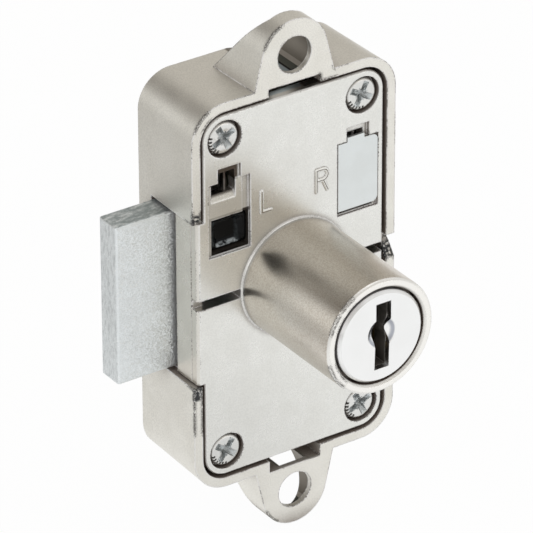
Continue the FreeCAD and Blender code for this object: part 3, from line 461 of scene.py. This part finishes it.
# The thin brown ridge on each letter is painted shade.
letter_shade = finish("letter_shade", (0.15, 0.11, 0.075), 0.45, metallic=0.5, skin=(0.15, 0.5, 2.0, 1.0, 1.0),
                      bump=6.0, edge=(0.05, 0.3, 0.1), cloudy=0.4)
wear(case_nickel, "housing")
wear(cover_nickel, "cover_plate")
print("nickel on the case and the cover")

# %% [markdown]
# The cover is one casting, but its parts don't look alike. The barrel is a little darker and finely
# speckled, its end ring is paler, and the flange before the bolt is browner. The windows are painted dark
# inside as shade, and under the upper ear a painted pale lens of light lies beside a painted shadow.

# %% Marks on the cover
BARREL = ((-10, -22, -10), (10, -0.5, 10))
END_RING = ((-10, -22, -10), (10, -20, 10))
FLANGE = ((-17.5, -1.0, -13.6), (-16.2, 6.5, 13.6))
# all painted light and shade: shade inside the left window and over the black block, then a lens of light and a
# shadow
COVER_LIGHT_AND_SHADE = [
    ((-14.2, 0.6, 18.3), (-9.3, 3.0, 21.8), SOFT, (0.10, 0.08, 0.065)),     # top of the left window
    ((-14.2, 1.0, 15.0), (-9.9, 3.0, 18.4), SOFT, (0.16, 0.145, 0.13)),     # its middle
    ((-14.2, 0.62, 6.9), (-7.3, 3.0, 13.2), SOFT, (0.055, 0.046, 0.038)),   # the opening over the black block
    ((-3.4, 1.3, 29.1), (2.2, 4.0, 29.5), 0.2, (0.60, 0.69, 0.73)),         # the lens of light
    ((2.3, 0.9, 29.1), (5.0, 4.0, 29.5), 0.3, (0.035, 0.025, 0.02)),        # the shadow beside it
]
RING_SCARS = [(-5.8, -21.2, 7.1, 2.2), (-7.9, -21.2, 4.3, 2.6), (-8.5, -21.2, -3.2, 2.0),
              (-7.3, -21.2, -5.3, 2.4)]
BARREL_ROUGHER = 0.02

tree = cover_nickel.node_tree
toward_y = facing(tree, 1)
barrel = times(tree, within(tree, *BARREL), spread(tree, toward_y, -0.5, -0.1))
lay_colour(cover_nickel, barrel, (0.96, 0.912, 0.865), "MULTIPLY")
speckle = spread(tree, noise(tree, on_lock(tree), 5200.0, 2.0, 0.6), 0.58, 0.40)
lay_colour(cover_nickel, times(tree, barrel, speckle), (0.83, 0.80, 0.77), "MULTIPLY")
flange = times(tree, within(tree, *FLANGE), spread(tree, facing(tree, 0), -0.5, -0.9))
lay_colour(cover_nickel, flange, (0.92, 0.885, 0.835), "MULTIPLY")
end_ring = times(tree, within(tree, *END_RING), spread(tree, toward_y, -0.5, -0.9))
lay_colour(cover_nickel, end_ring, (0.92, 0.905, 0.865))
for low, high, soft, colour in COVER_LIGHT_AND_SHADE:
    lay_colour(cover_nickel, within(tree, low, high, soft), colour)
scars(cover_nickel, RING_SCARS, 0.6)
roughness = tree.nodes["Principled BSDF"].inputs["Roughness"]
rougher = math_node(tree, "ADD", roughness.links[0].from_socket, times(tree, barrel, BARREL_ROUGHER))
tree.links.new(rougher, roughness)
print("cover:", len(tree.nodes), "nodes")

# %% [markdown]
# Behind each ear runs a round way for the head of a wood screw. The photograph looks into the upper one and
# shows bands: a pale lip, a dark ring, a black line and a blue-grey floor. They are painted by height below
# the hole's axis. The scars are where the photograph shows knocks, along the rim and the ears.

# %% Marks on the case
EAR_HOLES_Z = (35.4, -36.0)
WAY_R = 5.0
# The whole way is painted dark as shade; of the bands, the pale lip is painted light, and the dark ring and the
# black line are painted shade.
WAY_SHADE = (0.25, 0.23, 0.20)
WAY_LIGHT_AND_SHADE = [(-3.95, -3.5, (0.46, 0.43, 0.39)), (-4.4, -3.95, (0.11, 0.115, 0.10)),
             (-4.52, -4.4, (0.005, 0.005, 0.005)), (-6.0, -4.52, (0.27, 0.31, 0.33))]
BAND_SOFT = 0.03
CASE_SCARS = [(-4.0, 0.0, 39.3, 3.2), (-16.9, 0.3, 13.9, 2.6), (-16.9, 0.3, -15.0, 3.0),
              (-16.3, 0.0, -19.0, 3.2), (16.5, 1.2, -1.2, 3.0), (5.4, 0.0, 30.3, 2.6),
              (-16.0, 0.0, 29.6, 2.8), (-3.9, 0.0, -39.3, 2.4)]
BROKEN = [((15.5, 0.0, -2.4), (17.4, 1.9, -0.3)), ((-17.5, -0.3, 13.6), (-16.0, 0.5, 14.9)),
          ((-17.5, -0.3, -15.4), (-16.1, 0.5, -13.3))]

tree = case_nickel.node_tree
place = put(tree, "ShaderNodeSeparateXYZ", {0: on_lock(tree)}).outputs
y, z = place["Y"], place["Z"]
for hole_z in EAR_HOLES_Z:
    way = times(tree, spread(tree, out_from(tree, 0, hole_z), (WAY_R + 0.1) * MM, (WAY_R - 0.1) * MM),
                spread(tree, y, 0.85 * MM, 1.0 * MM))
    lay_colour(case_nickel, way, WAY_SHADE)
    way = times(tree, way, spread(tree, y, 10.5 * MM, 9.0 * MM))
    for below, above, colour in WAY_LIGHT_AND_SHADE:
        foot, top = hole_z + below, hole_z + above
        band = times(tree, spread(tree, z, (foot - BAND_SOFT) * MM, (foot + BAND_SOFT) * MM),
                     spread(tree, z, (top + BAND_SOFT) * MM, (top - BAND_SOFT) * MM))
        lay_colour(case_nickel, times(tree, band, way), colour)
scars(case_nickel, CASE_SCARS, 0.9)
for low, high in BROKEN:
    broken_patch(case_nickel, low, high)
print("case:", len(tree.nodes), "nodes")

# %% [markdown]
# Zinc shows its crystals. A Voronoi pattern cuts the surface into grains a seventh of a millimetre across,
# each with its own random colour. That colour tips the grain's normal a little, so neighbours reflect
# differently, and the few grains with a high value get a painted flash of light.

# %% Node group: zinc crystals
zinc_crystals, enter, leave = new_group("zinc_crystals", {"Grain size mm": 0.15, "Tilt": 0.4},
                                        {"Normal": "Vector", "Flash": "Float"})
grains_per_metre = math_node(zinc_crystals, "DIVIDE", PER_MM, enter.outputs["Grain size mm"])
cells = put(zinc_crystals, "ShaderNodeTexVoronoi",
            {"Vector": on_lock(zinc_crystals), "Scale": grains_per_metre}).outputs["Color"]
tipped = vector_math(zinc_crystals, "SUBTRACT", cells, (0.5, 0.5, 0.5))
tipped = put(zinc_crystals, "ShaderNodeVectorMath", {0: tipped, "Scale": enter.outputs["Tilt"]},
             operation="SCALE").outputs[0]
flat = put(zinc_crystals, "ShaderNodeNewGeometry").outputs["Normal"]
tipped = vector_math(zinc_crystals, "NORMALIZE", vector_math(zinc_crystals, "ADD", tipped, flat))
value = put(zinc_crystals, "ShaderNodeSeparateColor", {0: cells}).outputs[0]
close_group(zinc_crystals, leave, {"Normal": tipped, "Flash": spread(zinc_crystals, value, 0.93, 1.0)})

# %% [markdown]
# The bolt is bare cast zinc. Its surface is matt and blue-grey, with crystals that catch the light one by
# one, helped by painted flashes. Its upper face is scuffed where it slides in the case, and its end face is
# darker. Both marks are streaks: a noise that is squeezed along one axis, shown only on the face that looks
# that way.

# %% Finish: bare zinc
FLASH = (0.97, 0.99, 1.0)
SCUFF = (0.34, 0.39, 0.40)
END_MARK = (0.42, 0.45, 0.46)


def streaks(tree, squeeze, scale, low, high, most=1.0):
    """Ragged streaks along the axis that squeeze shortens."""
    where = put(tree, "ShaderNodeMapping", {"Vector": on_lock(tree), "Scale": squeeze}).outputs[0]
    return spread(tree, noise(tree, where, scale, 5.0, 0.75), low, high, 0.0, most)


bolt_zinc = finish("bolt_zinc", (0.855, 0.90, 0.92), 0.42, metallic=0.7, skin=(0.22, 0.8, 3.0, 0.6, 0.6),
                   bump=7.0, edge=(0.22, 0.4, 0.25), painted_glint=0.3, fleck_colour=(0.20, 0.21, 0.21),
                   shade_and_dirt=(0.8, 0.6), cloudy=0.05, grainy=0.16)
tree = bolt_zinc.node_tree
crystals = put(tree, "ShaderNodeGroup", node_tree=zinc_crystals).outputs
lay_colour(bolt_zinc, crystals["Flash"], FLASH)
scuffed = times(tree, spread(tree, facing(tree, 2), 0.7, 0.95),
                streaks(tree, (0.4, 1.0, 1.0), 1500.0, 0.30, 0.62))
lay_colour(bolt_zinc, scuffed, SCUFF)
marked = times(tree, spread(tree, facing(tree, 0), -0.7, -0.95),
               streaks(tree, (1.0, 1.0, 0.35), 2300.0, 0.42, 0.70, 0.62))
lay_colour(bolt_zinc, marked, END_MARK)
bump_node = tree.nodes["Principled BSDF"].inputs["Normal"].links[0].from_node
tree.links.new(crystals["Normal"], bump_node.inputs["Normal"])
wear(bolt_zinc, "bolt")
print("bolt:", len(tree.nodes), "nodes")

# %% [markdown]
# The screws are bright steel, and rougher and darker inside the recess, where the bit has bitten, with painted
# shade deep in it. The rest of this group lies inside: the driver disc, pins, washers and springs, the brass
# sleeve and wafers, and the plug, whose front is painted dark with shade where the keyway shows it.

# %% Finishes: steel, brass and the driver's zinc
disc_zinc = finish("disc_zinc", (0.55, 0.57, 0.57), 0.42)
screw_steel = finish("screw_steel", (0.74, 0.74, 0.72), 0.22, skin=(0.25, 0.7, 3.0, 2.2, 1.0), bump=16.0,
                     edge=(0.16, 0.3, 0.5), painted_glint=0.2, shade_and_dirt=(0.9, 0.5), shade_and_dirt_colour=(0.10, 0.09, 0.08))
recess_steel = finish("recess_steel", (0.66, 0.70, 0.71), 0.28, metallic=0.9, skin=(0.3, 0.6, 3.0, 3.0, 1.0),
                      bump=90.0, edge=(0.12, 0.3, 0.3), painted_glint=0.3, shade_and_dirt=(0.9, 0.75),
                      shade_and_dirt_colour=(0.05, 0.045, 0.04))
plain_steel = finish("plain_steel", (0.52, 0.51, 0.49), 0.3, bump=2.0, edge=(0.12, 0.4, 0.2))
spring_steel = finish("spring_steel", (0.46, 0.45, 0.43), 0.25, bump=1.0, edge=(0.05, 0.3, 0.1))
sleeve_brass = finish("sleeve_brass", (0.62, 0.58, 0.52), 0.26, bump=2.0, edge=(0.15, 0.4, 0.2))
core_steel = finish("core_steel", (0.42, 0.40, 0.375), 0.34, skin=(0.2, 0.6, 3.0, 2.0, 1.0), bump=8.0,
                    edge=(0.15, 0.4, 0.2), shade_and_dirt=(3.0, 0.95), shade_and_dirt_colour=(0.035, 0.028, 0.022))
wafer_brass = finish("wafer_brass", (0.60, 0.46, 0.26), 0.3, bump=2.0, edge=(0.1, 0.4, 0.2), shade_and_dirt=(2.5, 0.9),
                     shade_and_dirt_colour=(0.05, 0.035, 0.02))
wear(disc_zinc, "driver_disc")
wear(screw_steel, "cover_screws")
wear(plain_steel, "drive_pin", "stop_pin", "sleeve_pin", "cam_washer", "cam_screw", "thrust_washer",
     "retaining_ring")
wear(spring_steel, "wafer_springs")
wear(sleeve_brass, "core_sleeve")
wear(core_steel, "plug")
wear(wafer_brass, *[f"wafer_{number}" for number in range(1, 7)])
print("finishes:", len(bpy.data.materials))

# %% [markdown]
# The cap is polished steel and mirrors the white room. Only the rim of its dimple turns away, and a blue-grey
# ring of painted shade stands for it. The insert is a smooth pale plate. The block behind the left window is
# glossy black plastic, and three ragged highlights on it stand for the light that falls through the window.

# %% Finishes: cap, insert and black block
DIMPLE_X, DIMPLE_Z = 0.15, 0.6
DIMPLE_SHADE = (0.30, 0.32, 0.37)
BLOCK_SHINES = [((-12.7, 1.0, 7.85), (-9.0, 2.0, 8.3), (0.42, 0.46, 0.48)),
                ((-9.25, 1.0, 8.0), (-8.7, 2.0, 12.4), (0.025, 0.03, 0.032)),
                ((-13.4, 1.0, 8.3), (-12.95, 2.0, 12.2), (0.04, 0.048, 0.05))]

cap_polish = finish("cap_polish", (0.90, 0.905, 0.90), 0.2, skin=(0.3, 2.0, 6.0, 1.0, 1.0), bump=0.8,
                    edge=(0.12, 0.4, 0.1), painted_glint=0.08, shade_and_dirt=(1.2, 0.7), shade_and_dirt_colour=(0.22, 0.22, 0.24),
                    cloudy=0.02)
tree = cap_polish.node_tree
from_dimple = out_from(tree, DIMPLE_X, DIMPLE_Z)
dimple_shade = times(tree, spread(tree, from_dimple, 1.45 * MM, 1.95 * MM),
                   spread(tree, from_dimple, 2.35 * MM, 2.15 * MM))
lay_colour(cap_polish, times(tree, dimple_shade, 0.8), DIMPLE_SHADE)

insert_pale = finish("insert_pale", (0.74, 0.775, 0.775), 0.30, metallic=0.85, skin=(0.3, 2.0, 5.0, 1.0, 1.0),
                     bump=1.2, edge=(0.15, 0.5, 0.1), painted_glint=0.1, shade_and_dirt=(0.8, 0.6),
                     shade_and_dirt_colour=(0.25, 0.18, 0.12), cloudy=0.04)

# Its edge flecks are pale: painted highlights along the block's edges.
block_black = finish("block_black", (0.003, 0.0035, 0.004), 0.13, metallic=0.0, skin=(0.5, 1.5, 4.0, 1.0, 1.0),
                     bump=3.0, edge=(0.2, 0.3, 0.0), fleck_colour=(0.50, 0.56, 0.58), painted_glint=0.5,
                     shade_and_dirt=(0.5, 0.0), cloudy=0.0)
tree = block_black.node_tree
tree.nodes["Principled BSDF"].inputs["Specular IOR Level"].default_value = 0.12
ragged = spread(tree, noise(tree, on_lock(tree), 1500.0, 3.0, 0.6), 0.36, 0.60)
for low, high, shine in BLOCK_SHINES:
    lay_colour(block_black, times(tree, within(tree, low, high, 0.15), ragged), shine)
wear(cap_polish, "face_cap")
wear(insert_pale, "handing_insert")
wear(block_black, "glide_block")
print("finishes:", len(bpy.data.materials))

# %% [markdown]
# The floor is a wide pale plane just under the lower ear. A photographer's white table keeps only a faint
# shadow, so the camera sees a floor that mostly glows at strength 1 and partly shades. Metal mirrors another
# floor: grey towards the back left, which gives the case's side its tone, and a little duller under the
# barrel, as a painted shadow. Seen from below the floor is clear, so that the underside of the lock can be
# looked at.

# %% Floor
WHITE = (1, 1, 1)
PAPER = (0.86, 0.86, 0.86)
FLOOR_SIZE = 6.0
FLOOR_GAP = 0.2 * MM
GLOW_SHARE = 0.97
BACK_LEFT = (-0.83, 0.56, 0.0)
BACK_GREY = (0.56, 0.55, 0.535)
PAINTED_SHADOW_SPOT = (-0.004, -0.030, 0.0)


def straight_rays(tree):
    """1 for rays that come from the camera itself, or through something clear, and 0 for mirrored ones."""
    rays = put(tree, "ShaderNodeLightPath").outputs
    return math_node(tree, "MAXIMUM", rays["Is Camera Ray"], rays["Is Transmission Ray"])


def mix_shaders(tree, share, first, second):
    """Mixes two shaders."""
    return put(tree, "ShaderNodeMixShader", {0: share, 1: first, 2: second}).outputs[0]


bpy.ops.object.select_all(action="DESELECT")
bpy.ops.mesh.primitive_plane_add(size=FLOOR_SIZE, location=(0, 0, CAD_LOW.z - FLOOR_GAP))
floor = bpy.context.object
floor.name = "floor"
paper = bpy.data.materials.new("white_paper")
paper.use_nodes = True
tree = paper.node_tree
tree.nodes.clear()
glossy = put(tree, "ShaderNodeLightPath").outputs["Is Glossy Ray"]
matt = put(tree, "ShaderNodeBsdfDiffuse", {"Color": (*PAPER, 1)}).outputs[0]
glow = put(tree, "ShaderNodeEmission", {"Color": (*WHITE, 1), "Strength": 1.0}).outputs[0]
away = vector_math(tree, "DOT_PRODUCT", on_lock(tree), BACK_LEFT)
painted_shadow_gap = vector_math(tree, "DISTANCE", on_lock(tree), PAINTED_SHADOW_SPOT)
sheen = put(tree, "ShaderNodeEmission", {"Color": blend(tree, spread(tree, away, 0.0, 0.16), WHITE, BACK_GREY),
                                         "Strength": spread(tree, painted_shadow_gap, 0.010, 0.036, 0.86, 1.0)})
mirrored = mix_shaders(tree, glossy, matt, sheen.outputs[0])
shown = mix_shaders(tree, times(tree, straight_rays(tree), GLOW_SHARE), mirrored, glow)
clear = put(tree, "ShaderNodeBsdfTransparent").outputs[0]
under = put(tree, "ShaderNodeNewGeometry").outputs["Backfacing"]
put(tree, "ShaderNodeOutputMaterial", {"Surface": mix_shaders(tree, under, shown, clear)})
floor.data.materials.append(paper)
print("floor at", round(floor.location.z, 4))

# %% [markdown]
# Metal is only as good as what it mirrors. The room is pale in front of the lock and greyer behind it, with
# soft patches painted on its walls: a dark opening high at the back left is what the barrel mirrors as its
# dark streak. Three large lamps fill in the rest. The camera itself sees plain white.

# %% Room and lamps
WALL_COLOUR = (0.86, 0.85, 0.84)
WALL_PATCHES = [
    ((0, 1, 0), -0.25, 0.5, (0.55, 0.52, 0.48)),                # the back of the room
    ((-0.73, 0.68, 0.02), 0.72, 0.97, (0.95, 0.94, 0.92)),      # a pale screen at the back left
    ((0.35, -0.87, 0.35), 0.86, 0.97, (0.42, 0.38, 0.33)),      # a grey patch at the front right
    ((-0.36, 0.72, 0.59), 0.88, 0.99, (0.09, 0.075, 0.06)),     # the dark opening
    ((-0.42, -0.72, 0.55), 0.88, 0.98, (0.62, 0.60, 0.58)),     # the place of the camera
]
LAMPS = {"lamp_left": ((-0.95, -0.35, 0.35), 1.1), "lamp_top": ((0.15, -0.05, 0.9), 0.8),
         "lamp_front_right": ((0.45, -0.95, 0.10), 0.7)}
LAMP_SIZE = 0.5

room = bpy.data.worlds.new("studio_room")
bpy.context.scene.world = room
room.use_nodes = True
tree = room.node_tree
tree.nodes.clear()
ray = put(tree, "ShaderNodeTexCoord").outputs["Generated"]
walls = WALL_COLOUR
for direction, starts, full, colour in WALL_PATCHES:
    along = vector_math(tree, "DOT_PRODUCT", ray, tuple(Vector(direction).normalized()))
    walls = blend(tree, spread(tree, along, starts, full), walls, colour)
sky = blend(tree, straight_rays(tree), walls, WHITE)
air = put(tree, "ShaderNodeBackground", {"Color": sky, "Strength": 1.0})
put(tree, "ShaderNodeOutputWorld", {"Surface": air.outputs[0]})

for name, (spot, watts) in LAMPS.items():
    lamp = bpy.data.lights.new(name, "AREA")
    lamp.size = LAMP_SIZE
    lamp.energy = watts
    stand = bpy.data.objects.new(name, lamp)
    bpy.context.scene.collection.objects.link(stand)
    stand.location = spot
    stand.rotation_euler = (-Vector(spot)).to_track_quat("-Z", "Y").to_euler()
print("lamps:", len(bpy.data.lights))

# %% [markdown]
# Blender's modelling commands act on whatever is selected, so a few small helpers keep that in order: one
# clears the selection, two go into edit mode with only the faces or edges that a rule picks, and one settles
# a finished piece, which ends with its object at the origin and its place in its mesh.

# %% Modelling helpers
def only(piece):
    """Deselects everything, then selects this piece and makes it active."""
    if bpy.context.object and bpy.context.object.mode != "OBJECT":
        bpy.ops.object.mode_set(mode="OBJECT")
    bpy.ops.object.select_all(action="DESELECT")
    piece.select_set(True)
    bpy.context.view_layer.objects.active = piece


def edit_all(piece):
    """Goes into edit mode with everything selected."""
    only(piece)
    bpy.ops.object.mode_set(mode="EDIT")
    bpy.ops.mesh.select_all(action="SELECT")


def edit_some(piece, kind, picked):
    """Goes into edit mode with only those faces or edges selected for which picked holds."""
    edit_all(piece)
    bpy.ops.mesh.select_mode(type=kind)
    bpy.ops.mesh.select_all(action="DESELECT")
    bpy.ops.object.mode_set(mode="OBJECT")
    parts = piece.data.polygons if kind == "FACE" else piece.data.edges
    for part in parts:
        part.select = bool(picked(part))
    bpy.ops.object.mode_set(mode="EDIT")


def edit_faces(piece, rule):
    """Goes into edit mode with the faces selected for which rule(middle, normal) holds."""
    edit_some(piece, "FACE", lambda face: rule(face.center, face.normal))


def edit_edges(piece, rule):
    """Goes into edit mode with the edges selected for which rule(end, other_end) holds."""
    edit_some(piece, "EDGE", lambda edge: rule(*[piece.data.vertices[number].co for number in edge.vertices]))


def leave_edit():
    """Goes back to object mode."""
    bpy.ops.object.mode_set(mode="OBJECT")


def apply_place():
    """Puts the place, turn and size of what is selected into its mesh."""
    bpy.ops.object.transform_apply(location=True, rotation=True, scale=True)


def add_modifier(piece, kind, **settings):
    """Adds a modifier, sets it and applies it."""
    only(piece)
    modifier = piece.modifiers.new(kind.lower(), kind)
    for setting, value in settings.items():
        setattr(modifier, setting, value)
    bpy.ops.object.modifier_apply(modifier=modifier.name)


def settle(piece, smooth_degrees):
    """Applies the place, turn and size of a finished piece, and smooths its rounded faces."""
    only(piece)
    apply_place()
    bpy.ops.object.shade_smooth_by_angle(angle=math.radians(smooth_degrees))


print("modelling helpers ready")

# %% [markdown]
# The two letters tell the fitter which way round the lock is handed. Cast letters are ridges with round ends
# and soft sides, so each stroke is a ball pulled out into a sausage: half of its points are moved along to
# the stroke's end. The strokes are then fused by a voxel remesh and pressed down to a low ridge. A thin brown
# ridge along its middle, set a little towards its lower right, rises a hair higher: it is painted shade, and
# reads as a groove between two bright lips.

# %% Letters L and R
COVER_FACE = 0.15 * MM
LETTER_R = 0.37 * MM
LETTER_RISE = 0.45 * LETTER_R
LETTER_VOXEL = 0.045 * MM
SHADE_RIDGE_R = 0.16 * MM
SHADE_RIDGE_RISE = LETTER_RISE + 0.012 * MM
SHADE_RIDGE_SHIFT = 0.05
L_LINES = [[(-5.6, 15.25), (-5.6, 11.9), (-4.05, 11.9)]]
R_BOWL = [(4.95 + 0.75 * math.sin(math.radians(turn)), 14.85 + 0.85 * math.cos(math.radians(turn)))
          for turn in range(0, 181, 30)]
R_LINES = [[(3.8, 12.25), (3.8, 15.7)] + R_BOWL + [(3.8, 14.0)], [(4.9, 14.0), (5.7, 12.25)]]


def stroke(start, end, radius):
    """A round-ended bar between two points (x, z in mm) of the cover's face."""
    begin, stop = [Vector((x * MM, COVER_FACE, z * MM)) for x, z in (start, end)]
    along = stop - begin
    bpy.ops.object.select_all(action="DESELECT")
    bpy.ops.mesh.primitive_uv_sphere_add(segments=20, ring_count=14, radius=radius, location=begin)
    bar = bpy.context.object
    apply_place()
    edit_edges(bar, lambda a, b: (a - begin).dot(along) > 1e-9 and (b - begin).dot(along) > 1e-9)
    bpy.ops.transform.translate(value=along)
    leave_edit()
    return bar


def fuse_letter(name, lines, radius, rise, coat):
    """Joins the strokes of a letter into one soft ridge that rises this far above the cover."""
    bars = [stroke(points[i], points[i + 1], radius) for points in lines for i in range(len(points) - 1)]
    only(bars[0])
    for bar in bars[1:]:
        bar.select_set(True)
    bpy.ops.object.join()
    letter = bpy.context.object
    letter.name = name
    add_modifier(letter, "REMESH", mode="VOXEL", voxel_size=LETTER_VOXEL)
    add_modifier(letter, "SMOOTH", factor=0.5, iterations=3)
    edit_all(letter)
    bpy.ops.transform.resize(value=(1, rise / radius, 1), center_override=(0, COVER_FACE, 0))
    leave_edit()
    settle(letter, 60)
    letter.data.materials.append(coat)
    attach(letter, "lock_body")
    print(name, len(letter.data.polygons), "faces")


def stamp(name, lines):
    """One letter: a low pale ridge, and the thin brown one of painted shade that reads as its groove."""
    fuse_letter(name, lines, LETTER_R, LETTER_RISE, cover_nickel)
    shifted = [[(x + SHADE_RIDGE_SHIFT, z - SHADE_RIDGE_SHIFT) for x, z in points] for points in lines]
    fuse_letter(name + "_shade_ridge", shifted, SHADE_RIDGE_R, SHADE_RIDGE_RISE, letter_shade)


stamp("letter_L", L_LINES)
stamp("letter_R", R_LINES)

# %% [markdown]
# The cover is held by four pan head screws with a cross recess. One head is modelled: a cylinder whose front
# edge is bevelled into a dome, with two wide tapered bars cut out of it for the cross and two thin ones for
# the marks between its arms. Six nicks at the edge are where a bit has slipped.

# %% Screw head
HEAD_R = 2.52 * MM
HEAD_FRONT = 0.42 * MM
HEAD_SEAT = 1.84 * MM
HEAD_DOME = 0.5 * MM
CROSS_BAR = (2.3 * MM, 1.02 * MM, 1.0 * MM)         # half its length, its width and its depth
TICK_BAR = (1.6 * MM, 0.22 * MM, 0.3 * MM)
NICK_BAR = (0.62 * MM, 0.32 * MM, 0.8 * MM, 0.9)    # the last number: how little it narrows
NICKS_AT = range(140, 230, 15)


def turn_mesh(piece, degrees):
    """Turns the whole mesh about the Y axis."""
    edit_all(piece)
    bpy.ops.transform.rotate(value=math.radians(degrees), orient_axis="Y", center_override=(0, 0, 0))
    leave_edit()


def move_mesh(piece, way):
    """Moves the whole mesh."""
    edit_all(piece)
    bpy.ops.transform.translate(value=way)
    leave_edit()


def cylinder_y(radius, front, back, sides, name="rod"):
    """A cylinder along Y, its place and turn already in its mesh."""
    bpy.ops.object.select_all(action="DESELECT")
    bpy.ops.mesh.primitive_cylinder_add(vertices=sides, radius=radius, depth=back - front,
                                        location=(0, (front + back) / 2, 0), rotation=(math.radians(90), 0, 0))
    made = bpy.context.object
    made.name = name
    apply_place()
    return made


def tapered_bar(long, wide, deep, inner=0.25):
    """A bar for cutting a slot into the head: it narrows to its inner end."""
    front, back = HEAD_FRONT - 0.2 * MM, HEAD_FRONT + deep
    bpy.ops.object.select_all(action="DESELECT")
    bpy.ops.mesh.primitive_cube_add(size=1, location=(0, (front + back) / 2, 0),
                                    scale=(2 * long, back - front, wide))
    bar = bpy.context.object
    apply_place()
    edit_faces(bar, lambda middle, normal: normal.y > 0.9)
    bpy.ops.transform.resize(value=(inner, 1, 0.6), center_override=(0, back, 0))
    leave_edit()
    return bar


def cut_with(piece, tool, degrees):
    """Turns a tool about the screw's axis, cuts it out of a piece and deletes it."""
    turn_mesh(tool, degrees)
    add_modifier(piece, "BOOLEAN", operation="DIFFERENCE", solver="EXACT", object=tool)
    bpy.data.objects.remove(tool, do_unlink=True)


head = cylinder_y(HEAD_R, HEAD_FRONT, HEAD_SEAT, 64, "screw_head")
edit_edges(head, lambda a, b: max(a.y, b.y) < HEAD_FRONT + 1e-6)
bpy.ops.mesh.bevel(offset=HEAD_DOME, segments=4, profile=0.55)
leave_edit()
for degrees in (0, 90):
    cut_with(head, tapered_bar(*CROSS_BAR), degrees)
for degrees in (45, 135):
    cut_with(head, tapered_bar(*TICK_BAR), degrees)
for degrees in NICKS_AT:
    nick = tapered_bar(*NICK_BAR)
    move_mesh(nick, (HEAD_R, 0, 0))
    cut_with(head, nick, degrees)
print("head", len(head.data.polygons), "faces")

# %% [markdown]
# The shank is a core with a thread round it. The thread is a small roof of three points, which a Screw
# modifier turns and carries along the axis. The faces inside the cross get the rougher steel.

# %% Screw shank and recess
THREAD_CORE = 1.18 * MM
THREAD_CREST = 1.44 * MM
THREAD_PITCH = 0.7 * MM
THREAD_TURNS = 11
THREAD_START = HEAD_SEAT + 0.2 * MM
RECESS_R = 2.2 * MM

roof = bpy.data.meshes.new("thread_profile")
roof.from_pydata([(THREAD_CORE, THREAD_START, 0), (THREAD_CREST, THREAD_START + 0.5 * THREAD_PITCH, 0),
                  (THREAD_CORE, THREAD_START + THREAD_PITCH, 0)], [(0, 1), (1, 2)], [])
thread = bpy.data.objects.new("screw_thread", roof)
bpy.context.scene.collection.objects.link(thread)
add_modifier(thread, "SCREW", axis="Y", angle=math.tau, screw_offset=THREAD_PITCH, iterations=THREAD_TURNS - 1,
             steps=20, render_steps=20, use_merge_vertices=True, use_normal_calculate=True)
core = cylinder_y(THREAD_CORE + 0.02 * MM, HEAD_SEAT - 0.2 * MM,
                  THREAD_START + (THREAD_TURNS + 0.2) * THREAD_PITCH, 20)
for part in (thread, core):
    only(head)
    part.select_set(True)
    bpy.ops.object.join()
head.data.materials.clear()
head.data.materials.append(screw_steel)
head.data.materials.append(recess_steel)
edit_faces(head, lambda middle, normal: middle.y < HEAD_SEAT - 0.05 * MM
           and math.hypot(middle.x, middle.z) < RECESS_R
           and (middle.y > HEAD_FRONT + 0.08 * MM or abs(normal.y) < 0.95))
head.active_material_index = 1
bpy.ops.object.material_slot_assign()
leave_edit()
print("recess faces:", sum(face.material_index == 1 for face in head.data.polygons))

# %% [markdown]
# All four screws are copies of that one, each turned as far as it happened to be driven.

# %% Four cover screws
SCREW_X = 11.75 * MM
SCREW_Z = 25.5 * MM
SCREWS = {"upper_left": (-1, 1, 28), "upper_right": (1, 1, 62), "lower_left": (-1, -1, 55),
          "lower_right": (1, -1, 24)}


def copy_of(piece, name):
    """A copy with its own mesh."""
    made = bpy.data.objects.new(name, piece.data.copy())
    bpy.context.scene.collection.objects.link(made)
    return made


for corner, (side_x, side_z, degrees) in SCREWS.items():
    screw = copy_of(head, f"cover_screw_{corner}")
    turn_mesh(screw, degrees)
    move_mesh(screw, (side_x * SCREW_X, 0, side_z * SCREW_Z))
    settle(screw, 30)
    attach(screw, "lock_body")
    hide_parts("cover_screws")
bpy.data.objects.remove(head, do_unlink=True)
print("screws set")

# %% [markdown]
# A small coil spring holds each wafer up, and a wafer that is drawn down presses its own spring shorter. One
# spring is made from a ring of points that a Screw modifier winds upwards, with its two ends closed. Its six
# copies stand in the wells.

# %% Wafer springs
SPRING_WIRE = 0.12 * MM
SPRING_TURNS = 3

spring_low, spring_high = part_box("wafer_springs")
spring_tall = spring_high.z - spring_low.z
spring_mid_x = (spring_low.x + spring_high.x) / 2
coil_r = (spring_high.x - spring_low.x) / 2 - SPRING_WIRE
bpy.ops.object.select_all(action="DESELECT")
bpy.ops.mesh.primitive_circle_add(vertices=8, radius=SPRING_WIRE, location=(coil_r, 0, SPRING_WIRE),
                                  rotation=(math.radians(90), 0, 0))
coil = bpy.context.object
apply_place()
add_modifier(coil, "SCREW", axis="Z", angle=math.tau, iterations=SPRING_TURNS, steps=16, render_steps=16,
             screw_offset=(spring_tall - 2 * SPRING_WIRE) / SPRING_TURNS)
edit_all(coil)
bpy.ops.mesh.fill_holes(sides=0)
bpy.ops.mesh.select_all(action="SELECT")
bpy.ops.mesh.normals_make_consistent(inside=False)
leave_edit()
coil.data.materials.append(spring_steel)

for number in range(1, 7):
    wafer_low, wafer_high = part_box(f"wafer_{number}")
    stand = Vector((spring_mid_x, (wafer_low.y + wafer_high.y) / 2, spring_low.z))
    spring = copy_of(coil, f"wafer_spring_{number}")
    move_mesh(spring, stand)
    settle(spring, 50)
    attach(spring, "plug_body")
    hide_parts("wafer_springs")
    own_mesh(spring)
bpy.data.objects.remove(coil, do_unlink=True)
print("springs:", round(spring_tall / MM, 2), "mm tall, coil radius", round(coil_r / MM, 2))
